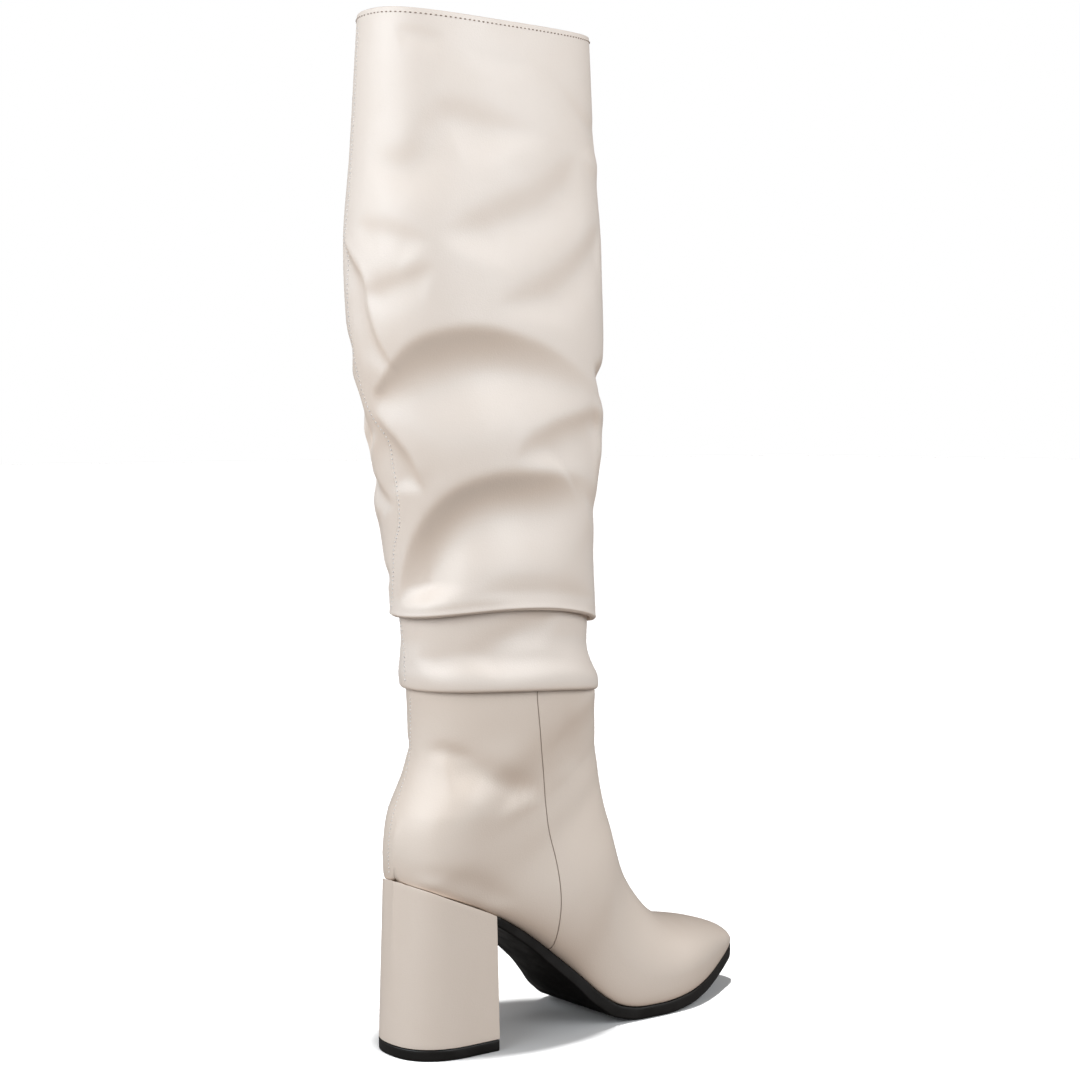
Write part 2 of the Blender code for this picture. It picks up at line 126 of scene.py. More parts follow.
creaseShape = {
    "ends": 0.4,  # width left at the ends of a crease, as a share
    "point": 0.22,  # the same for a crease with a pointed end
    "soft": 0.22,  # how round the trough is, as a share of the way back out
    "reach": 1.8,
    "spare": 6.0,
    "lowFade": 12.0,  # height over which a crease dies away above its floor
}
# Each crease row: how far below its lip the trough lies, how far it then takes to come back, how
# round the lip is, the depth (minus swells out), the share of the lip over which each end fades,
# and the places of the lip.
creaseColumns = ("turnIn", "back", "edge", "depth", "fadeStart", "fadeEnd")


def creaseRows(table, parts=1.0, size=1.0):
    # the rows as dictionaries; lips given in parts of a size are laid out in millimetres
    made = {}
    for name, row in table.items():
        count = len(creaseColumns)
        made[name] = dict(zip(creaseColumns, row), lip=np.array(row[count:], float) / parts * size)
    return made


def pressedIn(flat, creases, shape=creaseShape):
    # depth of all creases at flat places. Below its lip the leather turns in, then comes back.
    total = np.zeros(len(flat))
    for crease in creases.values():
        path, turnIn, back = crease["lip"], crease["turnIn"], crease["back"]
        wide = crease.get("arch")
        reach = (turnIn + back * shape["reach"] + shape["spare"]) * (2 if wide else 1)
        low, high = path.min(axis=0) - reach, path.max(axis=0) + reach
        near = np.all((flat > low) & (flat < high), axis=1)
        if not near.any():
            continue
        distance, share = (underLine if wide else besideLine)(flat[near], path)
        fade = fadeIn(share, crease["fadeStart"]) * fadeIn(1 - share, crease["fadeEnd"])
        size = shape["ends"] + (1 - shape["ends"]) * fade
        if "grow" in crease:  # a pointed end, where the whole crease narrows and stays crisp
            narrow = fadeIn(share, crease["grow"][0]) * fadeIn(1 - share, crease["grow"][1])
            size = shape["point"] + (1 - shape["point"]) * narrow
            fade = fade * size
        below = -distance / size
        soft = shape["soft"] * back
        deepest = ramp(below - turnIn, soft)
        inward = (ramp(below, crease["edge"]) - deepest) / turnIn
        outward = (deepest - ramp(below - turnIn - back, soft)) / back
        if "floor" in crease:  # it dies away above the fold below
            fade = fade * fadeIn(flat[near][:, 1] - crease["floor"], shape["lowFade"])
        total[near] += crease["depth"] * fade * (inward - outward)
    return total


def gridNormals(grid, closed):
    along = np.gradient(grid, axis=0)
    if closed:
        across = (np.roll(grid, -1, axis=1) - np.roll(grid, 1, axis=1)) / 2
    else:
        across = np.gradient(grid, axis=1)
    normals = np.cross(across, along)
    lengths = np.linalg.norm(normals, axis=2, keepdims=True)
    return normals / np.maximum(lengths, 1e-9)


# painted shade: the share of a point that faces down, where the leather gets a darker tint
def downShadeShare(normals):
    return np.clip((0.03 - normals[..., 2]) / 0.42, 0, 1)


def meshPiece(name, points, faces, finishes, replaced=(), marks=None):
    # one smooth piece in the boot's frame, riding on its only body
    mesh = bpy.data.meshes.new(name)
    mesh.from_pydata((np.asarray(points, float) * mm).tolist(), [], faces)
    for finish in finishes:
        mesh.materials.append(finish)
    for mark, values in (marks or {}).items():
        layer = mesh.attributes.new(mark, "FLOAT", "POINT")
        layer.data.foreach_set("value", np.asarray(values, dtype=np.float32).ravel())
    mesh.update()
    mesh.shade_smooth()
    piece = bpy.data.objects.new(name, mesh)
    bpy.context.scene.collection.objects.link(piece)
    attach(piece, "root")
    if replaced:
        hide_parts(*replaced)
    return piece


def sheetPiece(name, grid, closed, finishes, replaced=(), marks=None, caps=0):
    # a piece from rows of points; caps is 1 to close the first row with a face, 2 the last one too
    rows, columns = grid.shape[:2]
    i, j = np.meshgrid(np.arange(rows - 1), np.arange(columns if closed else columns - 1), indexing="ij")
    across = (j + 1) % columns
    corners = [i * columns + j, i * columns + across, (i + 1) * columns + across, (i + 1) * columns + j]
    faces = np.stack(corners, axis=-1).reshape(-1, 4).tolist()
    if caps > 0:
        faces.append(list(range(columns))[::-1])
    if caps > 1:
        faces.append(list(range(rows * columns - columns, rows * columns)))
    return meshPiece(name, grid.reshape(-1, 3), faces, finishes, replaced, marks)


def stationGrid(x, ring):
    # rows across the boot at each x from pairs of y and z
    y, z = (np.stack([part[k] for part in ring], axis=1) for k in range(2))
    return np.stack([np.broadcast_to(x[:, None], y.shape), y, z], axis=-1)


def joinPoints(piece, closed, within=0.02):
    # joins doubled points, and turns all faces of a closed piece outward
    builder = bmesh.new()
    builder.from_mesh(piece.data)
    bmesh.ops.remove_doubles(builder, verts=builder.verts, dist=within * mm)
    if closed:
        bmesh.ops.recalc_face_normals(builder, faces=builder.faces)
    builder.to_mesh(piece.data)
    builder.free()


def softEdges(piece, width, segments):
    bevel = piece.modifiers.new("Soft edges", "BEVEL")
    bevel.width = width * mm
    bevel.segments = segments
    bevel.limit_method = "ANGLE"
    bevel.angle_limit = math.radians(40)
    bevel.harden_normals = False


# Shader helpers, and groups that several materials use

def setInputs(tree, node, values):
    # a number or a colour is set, and a socket is linked
    for key, part in (values or {}).items():
        if isinstance(part, (int, float)):
            node.inputs[key].default_value = part
        elif isinstance(part, tuple):
            node.inputs[key].default_value = (*part, 1.0)
        else:
            tree.links.new(part, node.inputs[key])


def addNode(tree, kind, settings=None, values=None):
    node = tree.nodes.new(kind)
    for key, value in (settings or {}).items():
        setattr(node, key, value)
    setInputs(tree, node, values)
    return node


def texture(tree, kind, settings=None, values=None):
    # a texture in the piece's own coordinates
    node = addNode(tree, kind, settings, values)
    tree.links.new(addNode(tree, "ShaderNodeTexCoord").outputs["Object"], node.inputs["Vector"])
    return node.outputs


def mathNode(tree, operation, *parts):
    return addNode(tree, "ShaderNodeMath", {"operation": operation}, dict(enumerate(parts))).outputs[0]


def product(tree, first, second):
    return mathNode(tree, "MULTIPLY", first, second)


def rangeNode(tree, value, low, high, start=0.0, end=1.0, kind="SMOOTHSTEP"):
    values = {"Value": value, "From Min": low, "From Max": high, "To Min": start, "To Max": end}
    return addNode(tree, "ShaderNodeMapRange", {"interpolation_type": kind}, values).outputs["Result"]


def mixColour(tree, share, first, second):
    values = {0: share, 6: first, 7: second}
    return addNode(tree, "ShaderNodeMix", {"data_type": "RGBA"}, values).outputs[2]


def bumpNode(tree, height, depth, under=None, strength=1.0):
    # the normal of a surface raised by the height, depth in mm, on top of another normal
    values = {"Height": height, "Distance": depth * mm, "Strength": strength}
    if under is not None:
        values["Normal"] = under
    return addNode(tree, "ShaderNodeBump", values=values).outputs["Normal"]


def markNode(tree, name):
    return addNode(tree, "ShaderNodeAttribute", {"attribute_name": name}).outputs["Fac"]


def newGroup(name, given, made):
    group = bpy.data.node_groups.new(name, "ShaderNodeTree")
    for label, value in given.items():
        socket = group.interface.new_socket(name=label, in_out="INPUT", socket_type="NodeSocketFloat")
        socket.default_value = value
    for label in made:
        group.interface.new_socket(name=label, in_out="OUTPUT", socket_type="NodeSocketFloat")
    return group, group.nodes.new("NodeGroupInput").outputs, group.nodes.new("NodeGroupOutput")


def placeGroup(tree, group, values):
    return addNode(tree, "ShaderNodeGroup", {"node_tree": group}, values).outputs


def makeHideGrain():
    # pebbled surface of a pressed hide: fine cells, pores and slow unevenness
    given = {"Pebble": 1500.0, "Clouds": 22.0}
    group, given, made = newGroup("hideGrain", given, ("Height", "Pores", "Tone"))
    cellValues = {"Scale": given["Pebble"], "Smoothness": 0.6, "Randomness": 1.0}
    fineValues = {"Scale": product(group, given["Pebble"], 0.55), "Detail": 4.0, "Roughness": 0.6}
    poreValues = {"Scale": product(group, given["Pebble"], 0.8), "Randomness": 1.0}
    cloudValues = {"Scale": given["Clouds"], "Detail": 3.0, "Roughness": 0.5, "Distortion": 0.4}
    cells = texture(group, "ShaderNodeTexVoronoi", {"feature": "SMOOTH_F1"}, cellValues)
    fine = texture(group, "ShaderNodeTexNoise", None, fineValues)
    pores = texture(group, "ShaderNodeTexVoronoi", {"feature": "F1"}, poreValues)
    clouds = texture(group, "ShaderNodeTexNoise", None, cloudValues)
    poreMask = rangeNode(group, pores["Distance"], 0.05, 0.22, 1.0, 0.0)
    bumps = product(group, cells["Distance"], -0.7)
    bumps = mathNode(group, "ADD", bumps, product(group, fine["Fac"], 0.8))
    bumps = mathNode(group, "SUBTRACT", bumps, product(group, poreMask, 0.25))
    tone = rangeNode(group, clouds["Fac"], 0.3, 0.7)
    setInputs(group, made, {"Height": bumps, "Pores": poreMask, "Tone": tone})
    return group


def makeSeamLine():
    # a sewn seam: a narrow furrow with a soft swell on both sides, from the distance to its line
    group, given, made = newGroup("seamLine", {"Distance": 10.0, "Width": 0.30}, ("Furrow", "Height"))
    shares = mathNode(group, "DIVIDE", mathNode(group, "ABSOLUTE", given["Distance"]), given["Width"])
    furrow = rangeNode(group, shares, 0.3, 1.3, 1.0, 0.0)
    rise = rangeNode(group, shares, 0.8, 2.2, 0.0, 1.0)
    fall = rangeNode(group, shares, 2.2, 6.5, 1.0, 0.0)
    swell = product(group, product(group, rise, fall), 0.15)
    setInputs(group, made, {"Furrow": furrow, "Height": mathNode(group, "SUBTRACT", swell, furrow)})
    return group


hideGrain = makeHideGrain()
seamLine = makeSeamLine()


def blankMaterial(name, look, values=None):
    made = bpy.data.materials.new(name)
    made.use_nodes = True
    tree = made.node_tree
    shader = tree.nodes["Principled BSDF"]
    setInputs(tree, shader, {"Base Color": look["colour"], "Roughness": look["smooth"]})
    setInputs(tree, shader, values)
    return made, tree, shader


shaftLook = {
    "colour": (0.822, 0.730, 0.655),
    "shade": (0.782, 0.678, 0.592),
    "under": (0.815, 0.668, 0.555),  # painted shade: a darker, more saturated colour where the leather faces down
    "pore": (0.60, 0.49, 0.41),
    "seam": (0.24, 0.15, 0.10),
    "smooth": 0.40,
    "rough": 0.50,
    "coat": 0.16,
    "coatRough": 0.34,
    "cloudy": 0.35,
    "poreShare": 0.14,
    "grainDepth": 0.050,
}
# painted shade: the foot wears a darker copy of the shaft's leather, standing in for the lower boot being
# less lit
footShadedLook = dict(
    shaftLook,
    colour=(0.762, 0.657, 0.569),
    shade=(0.718, 0.603, 0.510),
    # painted shade colour where the foot faces down
    under=(0.730, 0.578, 0.466),
)
# painted shade: the heel wears a darker copy again
heelShadedLook = dict(footShadedLook, colour=(0.732, 0.623, 0.535), shade=(0.690, 0.572, 0.478))


def creamLeather(name, look, seams=()):
    # coated cream leather; each seam is a point attribute holding its distance in mm, the line's
    # width, how dark it is and how deep
    coat = {"Coat Weight": look["coat"], "Coat Roughness": look["coatRough"]}
    made, tree, shader = blankMaterial(name, look, coat)
    grain = placeGroup(tree, hideGrain, {"Pebble": 1500.0, "Clouds": 22.0})
    colour = mixColour(tree, product(tree, grain["Tone"], look["cloudy"]), look["colour"], look["shade"])
    # painted shade: where the leather faces down its colour moves to the darker under colour
    colour = mixColour(tree, markNode(tree, "facesDownShade"), colour, look["under"])
    colour = mixColour(tree, product(tree, grain["Pores"], look["poreShare"]), colour, look["pore"])
    rough = rangeNode(tree, grain["Tone"], 0.0, 1.0, look["smooth"], look["rough"], "LINEAR")
    normal = None
    for seam, width, dark, deep in seams:
        sewn = placeGroup(tree, seamLine, {"Distance": markNode(tree, seam), "Width": width})
        colour = mixColour(tree, product(tree, sewn["Furrow"], dark), colour, look["seam"])
        normal = bumpNode(tree, sewn["Height"], deep, normal)
    normal = bumpNode(tree, grain["Height"], look["grainDepth"], normal)
    setInputs(tree, shader, {"Base Color": colour, "Roughness": rough, "Normal": normal})
    return made


liningLook = {
    "colour": (0.60, 0.51, 0.42),
    "shade": (0.50, 0.42, 0.34),
    "smooth": 0.85,
    "threads": 900.0,
    "depth": 0.12,
}


def liningCloth(name, look):
    # a close twill of cotton behind the leather
    made, tree, shader = blankMaterial(name, look, {"Sheen Weight": 0.15})
    waves = []
    for direction, width in (("DIAGONAL", 6), ("Z", 4)):
        values = {"Scale": look["threads"] / width, "Distortion": 0.6, "Detail": 1.0}
        settings = {"wave_type": "BANDS", "bands_direction": direction}
        waves.append(texture(tree, "ShaderNodeTexWave", settings, values)["Fac"])
    weave = product(tree, *waves)
    cloud = texture(tree, "ShaderNodeTexNoise", None, {"Scale": 40.0, "Detail": 3.0})["Fac"]
    share = mathNode(tree, "ADD", product(tree, weave, -0.5), product(tree, cloud, 1.1))
    colour = mixColour(tree, share, look["colour"], look["shade"])
    normal = bumpNode(tree, weave, look["depth"], strength=0.8)
    setInputs(tree, shader, {"Base Color": colour, "Normal": normal})
    return made


rubberLook = {
    "colour": (0.008, 0.007, 0.006),
    "worn": (0.020, 0.017, 0.016),
    "smooth": 0.34,
    "rough": 0.55,
    "wornShare": 0.30,
    "grainDepth": 0.05,
    "ribs": 62.0,
    "ribDepth": 0.8,
}


def soleRubber(name, look, tread):
    # black moulded rubber; tread is the name of a point attribute, 1 where the ribs are cut
    made, tree, shader = blankMaterial(name, look, {"Specular IOR Level": 0.32})
    grain = placeGroup(tree, hideGrain, {"Pebble": 1100.0, "Clouds": 60.0})
    colour = mixColour(tree, product(tree, grain["Tone"], look["wornShare"]), look["colour"], look["worn"])
    rough = rangeNode(tree, grain["Tone"], 0.0, 1.0, look["smooth"], look["rough"], "LINEAR")
    settings = {"wave_type": "BANDS", "bands_direction": "X"}
    ribs = texture(tree, "ShaderNodeTexWave", settings, {"Scale": look["ribs"], "Distortion": 0.0})
    cut = mathNode(tree, "SUBTRACT", rangeNode(tree, ribs["Fac"], 0.25, 0.5), 1.0)
    grooves = bumpNode(tree, product(tree, cut, markNode(tree, tread)), look["ribDepth"])
    normal = bumpNode(tree, grain["Height"], look["grainDepth"], grooves)
    setInputs(tree, shader, {"Base Color": colour, "Roughness": rough, "Normal": normal})
    return made


taupeLook = {"colour": (0.40, 0.29, 0.22), "smooth": 0.6, "between": 0.6, "twist": 900.0, "depth": 0.1}
paleLook = dict(taupeLook, colour=(0.98, 0.95, 0.92), between=0.88)


def sewingThread(name, look):
    made, tree, shader = blankMaterial(name, look, {"Sheen Weight": 0.2})
    values = {"Scale": look["twist"], "Distortion": 1.0}
    twist = texture(tree, "ShaderNodeTexWave", {"bands_direction": "DIAGONAL"}, values)["Fac"]
    dark = tuple(part * look["between"] for part in look["colour"])
    colour = mixColour(tree, twist, dark, look["colour"])
    setInputs(tree, shader, {"Base Color": colour, "Normal": bumpNode(tree, twist, look["depth"])})
    return made


upperSeams = (("sideSeam", 0.26, 0.85, 0.5), ("backSeam", 0.22, 0.10, 0.05))
# the upper and the heel use the darker, painted shade copies of the leather
upperLeatherFinish = creamLeather("creamUpperLeather", footShadedLook, upperSeams)
shaftLeatherFinish = creamLeather("creamShaftLeather", shaftLook, (("backSeam", 0.22, 0.08, 0.08),))
heelLeatherFinish = creamLeather("creamHeelLeather", heelShadedLook)
liningFinish = liningCloth("liningTwill", liningLook)
outsoleFinish = soleRubber("outsoleRubber", rubberLook, "tread")
liftFinish = soleRubber("topLiftRubber", rubberLook, "tread")
threadFinish = sewingThread("taupeThread", taupeLook)
paleThreadFinish = sewingThread("creamThread", paleLook)
print("materials made")

farOff = 5000.0  # what a seam's attribute says where the seam isn't near
seamOffset = 1.6  # the back seam lies to the inner side of its stitches


# The foot of the boot

footSettings = {
    "rows": 168,
    "columns": 150,
    "wall": 1.8,
    "evening": 6,
    "calming": 60,
    "innerShare": 0.8,  # depth of the creases on the inner side
    "backEnd": 25.0,  # where the back of the foot ends
}
# Girth planes from the toe tip, round under the heel, to the top of the ankle: base point, ridge
# point, middle line, half width, ridge line, half width at the sole, share of the way up where it
# is widest, and how square it is below and above that (2 is an ellipse).
footColumns = (
    "baseX", "baseZ", "ridgeX", "ridgeZ", "centre", "half", "ridge", "base", "widest", "low", "top",
)
footTable = (
    (215, 21.9, 215, 21.9, 12.5, 0, 12.5, 0, 0.4, 2, 2),
    (213.8, 21.6, 214.8, 25.5, 12.5, 6.6, 12.5, 6, 0.4, 2, 2),
    (210.5, 20.5, 211.9, 29.4, 12.6, 11, 12.6, 9.6, 0.4, 2, 2),
    (204.1, 18.8, 206, 33.3, 12.9, 16.2, 12.8, 14.2, 0.4, 2.1, 2.1),
    (195.1, 16.4, 197, 36.9, 12.6, 21.4, 12.4, 19.3, 0.38, 2.2, 2.2),
    (182.9, 13.5, 185.5, 40.4, 12, 28, 11.5, 25.7, 0.36, 2.3, 2.2),
    (168.9, 10.8, 173, 43.4, 11, 34, 9.6, 31.8, 0.34, 2.4, 2.1),
    (153, 8.4, 159.9, 46.3, 9.4, 37.6, 7, 35.6, 0.32, 2.4, 2),
    (137.1, 6.9, 148.5, 50.5, 8.8, 38.5, 4.5, 36.4, 0.3, 2.4, 1.9),
    (121, 6.9, 137.6, 58, 8, 37.8, 2, 35.2, 0.3, 2.4, 1.9),
    (106.9, 9.4, 127.9, 68.5, 6.2, 35.6, 0, 32.4, 0.3, 2.4, 1.9),
    (92.9, 18, 120.6, 79, 4, 33.5, -1, 29, 0.33, 2.3, 1.9),
    (78.9, 30.4, 115.2, 90, 1.2, 32, -1.5, 24.9, 0.36, 2.2, 2),
    (64.9, 41.7, 111.2, 100.5, -2.1, 31.5, -2, 20.9, 0.39, 2.2, 2.1),
    (50.9, 52.8, 108.2, 110, -2.8, 31.3, -2, 19.8, 0.41, 2.2, 2.2),
    (37.1, 62, 105.6, 118.5, -2.1, 31.2, -2, 21.2, 0.43, 2.2, 2.2),
    (23.1, 69.8, 103.8, 127, -0.9, 31.2, -1.5, 23.4, 0.44, 2.2, 2.3),
    (6.9, 76.8, 103, 135.5, 0, 31.4, -1, 24.8, 0.45, 2.2, 2.3),
    (-6.1, 82.2, 102, 143, 0, 31.8, -0.5, 23.8, 0.46, 2.2, 2.4),
    (-14, 85.8, 101, 149, 0, 31.9, 0, 19.3, 0.46, 2.4, 2.45),
    (-18.5, 87.7, 100.8, 154, 0, 32, 0, 12, 0.46, 2.8, 2.45),
    (-21.1, 89, 100.7, 158.5, 0, 32.2, 0, 0, 0.46, 3, 2.5),
    (-22.5, 101.1, 100.4, 164.6, 0, 32.8, 0, 0, 0.46, 2.7, 2.5),
    (-22, 111.2, 100.2, 169.2, 0, 33.6, 0, 0, 0.46, 2.4, 2.45),
    (-17.3, 124.3, 99.9, 174.8, 0, 34.6, 0, 0, 0.47, 2.2, 2.4),
    (-10.9, 138.5, 99.5, 180.5, 0, 35.8, 0, 0, 0.48, 2, 2.35),
    (-7.3, 152.6, 99, 184.1, 0, 36.6, 0, 0, 0.49, 2, 2.2),
    (-6.8, 169.8, 98.4, 187.4, 0, 37.2, 0, 0, 0.5, 2.1, 2.1),
    (-8, 190, 97.6, 190, 0, 37.5, 0, 0, 0.5, 2.1, 2.1),
)
heelRow = 21  # the first row whose base has closed, at the back of the heel seat


def footAt(places):
    values = np.array(footTable)
    rows = np.arange(len(values))
    return {name: easyCurve(rows, values[:, k], places) for k, name in enumerate(footColumns)}


def footGrid(settings):
    places = np.linspace(0, len(footTable) - 1, settings["rows"] + 1)
    row = {name: part[:, None] for name, part in footAt(places).items()}
    turn = np.linspace(0, 1, settings["columns"] + 1)[None, :]
    side = np.where(turn < 0.5, -1.0, 1.0)
    angle = np.radians(-90 + 360 * np.minimum(turn, 1 - turn))
    across, up = np.clip(np.cos(angle), 0, 1), np.sin(angle)
    lower = row["base"] + (row["half"] - row["base"]) * across ** (2 / row["low"])
    upper = row["half"] * across ** (2 / row["top"])
    lean = np.where(up < 0, 0.0, (row["ridge"] - row["centre"]) * up**2)
    y = row["centre"] + lean + side * np.where(up < 0, lower, upper)
    lowShare = row["widest"] * (1 - np.clip(-up, 0, 1) ** (2 / row["low"]))
    highShare = row["widest"] + (1 - row["widest"]) * np.clip(up, 0, 1) ** (2 / row["top"])
    share = np.where(up < 0, lowShare, highShare)
    x = row["baseX"] + share * (row["ridgeX"] - row["baseX"])
    z = row["baseZ"] + share * (row["ridgeZ"] - row["baseZ"])
    return evened(np.stack([x, y, z], axis=-1), settings["evening"])


# Creases of the ankle and the instep, drawn on the side view as (x, z). The trough lies to the
# right of the lip's direction.
ankleCreases = creaseRows({
    "ankleNotch": (3, 6, 0.8, 1.4, 0.3, 0.4, (-12, 150), (-8.5, 155.5), (-4, 158.7), (1, 158), (6, 155),
        (12, 151)),
    "ankleCrease": (3.6, 14, 0.9, 2, 0.22, 0.65, (50, 125.2), (44.8, 125.2), (36, 127), (26, 130.3),
        (16, 135.4), (8.3, 142.4), (2.2, 149.2), (-2, 154)),
    "ankleRoll": (12, 10, 2.5, 3.3, 0.25, 0.32, (-6, 158), (1, 157.5), (9, 155), (18, 151), (28, 145.5),
        (38, 139.5), (48, 133)),
    "counterWaist": (8, 12, 2.6, 2.2, 0.35, 0.35, (-24, 99), (-12, 99), (2, 97), (16, 92),
        (28, 84), (38, 76)),
    "instepDent": (9, 14, 3, 1, 0.4, 0.4, (62, 178), (72, 166), (80, 150), (86, 134)),
})
sideSeamPath = (
    (41.0, 190), (41.0, 181), (42.5, 170), (45, 156), (48.5, 140), (50.5, 126), (52.6, 112), (56.5, 98),
    (58.7, 86), (59.8, 74), (59.6, 63), (59.2, 54), (58.8, 44),
)
backSeamOfFoot = ((80, 6.0), (102, 5.0), (120, 5.5), (131, 7.0), (162, 8.0), (178, 7.0), (192, 5.0))


def calmed(grid, times):
    # spreads out the unevenness low on the counter, while the seat's edge keeps its place
    column = np.arange(grid.shape[1])
    inner = np.clip(np.minimum(column, column[-1] - column) / 4, 0, 1)[None, :]
    low = np.clip((122 - grid[..., 2]) / 14, 0, 1) * np.clip((36 - grid[..., 0]) / 14, 0, 1) * inner
    for _ in range(times):
        mean = grid.copy()
        mean[1:-1, 1:-1] = (grid[:-2, 1:-1] + grid[2:, 1:-1] + grid[1:-1, :-2] + grid[1:-1, 2:]) / 4
        grid = grid + (mean - grid) * low[..., None] * 0.7
    return grid


def makeUpper(settings):
    grid = calmed(footGrid(settings), settings["calming"])
    normals = gridNormals(grid, False)
    flat = grid[..., [0, 2]].reshape(-1, 2)
    outer = (grid[..., 1] < grid[:, :1, 1] / 2 + grid[:, -1:, 1] / 2).ravel()
    depth = pressedIn(flat, ankleCreases)
    depth = np.where(outer, depth, depth * settings["innerShare"]).reshape(grid.shape[:2])
    middle = np.clip((np.abs(grid[..., 1]) - 2) / 12, 0, 1)
    grid = grid - normals * (depth * middle)[..., None]
    side = besideLine(flat, sideSeamPath)[0]
    back = grid[..., 1] - np.interp(grid[..., 2], *np.transpose(backSeamOfFoot)) - seamOffset
    back = np.where(grid[..., 0] < settings["backEnd"], back, np.where(back < 0, -farOff, farOff))
    # seam distances, and the share facing down that carries the painted shade
    marks = {"sideSeam": side, "backSeam": back, "facesDownShade": downShadeShare(gridNormals(grid, False))}
    finishes = [upperLeatherFinish, liningFinish]
    piece = sheetPiece("upperLeather", grid, False, finishes, ["upper"], marks)
    joinPoints(piece, False)
    wall = piece.modifiers.new("Wall", "SOLIDIFY")
    wall.thickness = settings["wall"] * mm
    wall.offset = -1
    wall.material_offset = 1
    wall.use_quality_normals = True
    return piece, grid


upperLeather, upperGrid = makeUpper(footSettings)
print("upper made:", len(upperLeather.data.polygons), "faces")


# The slouched shaft

shaftSettings = {
    "height": 330.0,
    "ankle": 190.0,
    "columns": 264,
    "girth": 372.0,
    "foldRows": 4,
    "calfRows": 168,
    "hemInside": 22.0,
    "rimLift": -1.5,
    "rimTip": 1.3,
    "rimSink": -1.6,
    "wall": 1.3,
    "rimRows": 40,
    "collarFade": 10.0,  # height over which the creases end under the rim
}
# level above the ankle, middle in front of the heel's middle, half depth, half width, squareness
ringTable = (
    (0.0, 45.15, 52.25, 37.5, 2.1),
    (16.5, 41.8, 53.0, 38.0, 2.1),
    (36.3, 40.9, 53.3, 38.5, 2.1),
    (41.2, 40.5, 57.0, 42.5, 2.2),
    (66.0, 38.4, 57.2, 44.0, 2.2),
    (99.0, 36.6, 60.0, 46.0, 2.3),
    (138.6, 33.3, 66.0, 47.0, 2.3),
    (181.5, 30.8, 71.3, 46.3, 2.3),
    (217.8, 29.4, 72.0, 45.0, 2.3),
    (264.0, 29.4, 68.6, 41.8, 2.3),
    (330.0, 30.0, 65.3, 36.0, 2.4),
)
# the leather's course round both folds: ring level, real level, distance outward, rise at the
# sides, and drop in front
foldTable = (
    (0.0, -4.0, 0.78, 1.37, 2.91),
    (0.0, -5.6, 0.72, 1.26, 2.88),
    (0.0, -6.8, 1.20, 1.19, 2.86),
    (0.0, -7.3, 2.04, 1.16, 2.85),
    (0.0, -6.7, 3.12, 1.19, 2.86),
    (0.0, -4.9, 3.72, 1.30, 2.89),
    (2.6, 1.0, 3.60, 1.68, 3.00),
    (9.2, 7.5, 1.44, 2.09, 3.12),
    (18.1, 16.3, -0.48, 2.64, 3.28),
    (26.4, 24.4, -0.30, 3.16, 3.43),
    (33.0, 30.9, 0.00, 3.56, 3.55),
    (36.3, 35.1, 0.00, 3.75, 3.60),
    (36.3, 36.1, 0.54, 3.75, 3.60),
    (36.3, 35.4, 1.20, 3.75, 3.60),
    (36.3, 33.4, 1.38, 3.75, 3.60),
    (36.3, 32.0, 2.10, 3.75, 3.60),
    (36.3, 31.5, 3.12, 3.75, 3.60),
    (36.3, 32.1, 4.08, 3.75, 3.60),
    (36.3, 33.6, 4.68, 3.75, 3.60),
    (41.2, 39.1, 0.00, 3.75, 3.60),
)
secondFoldRow = 16  # the lowest row of the upper fold; rows between 11 and it are hidden inside


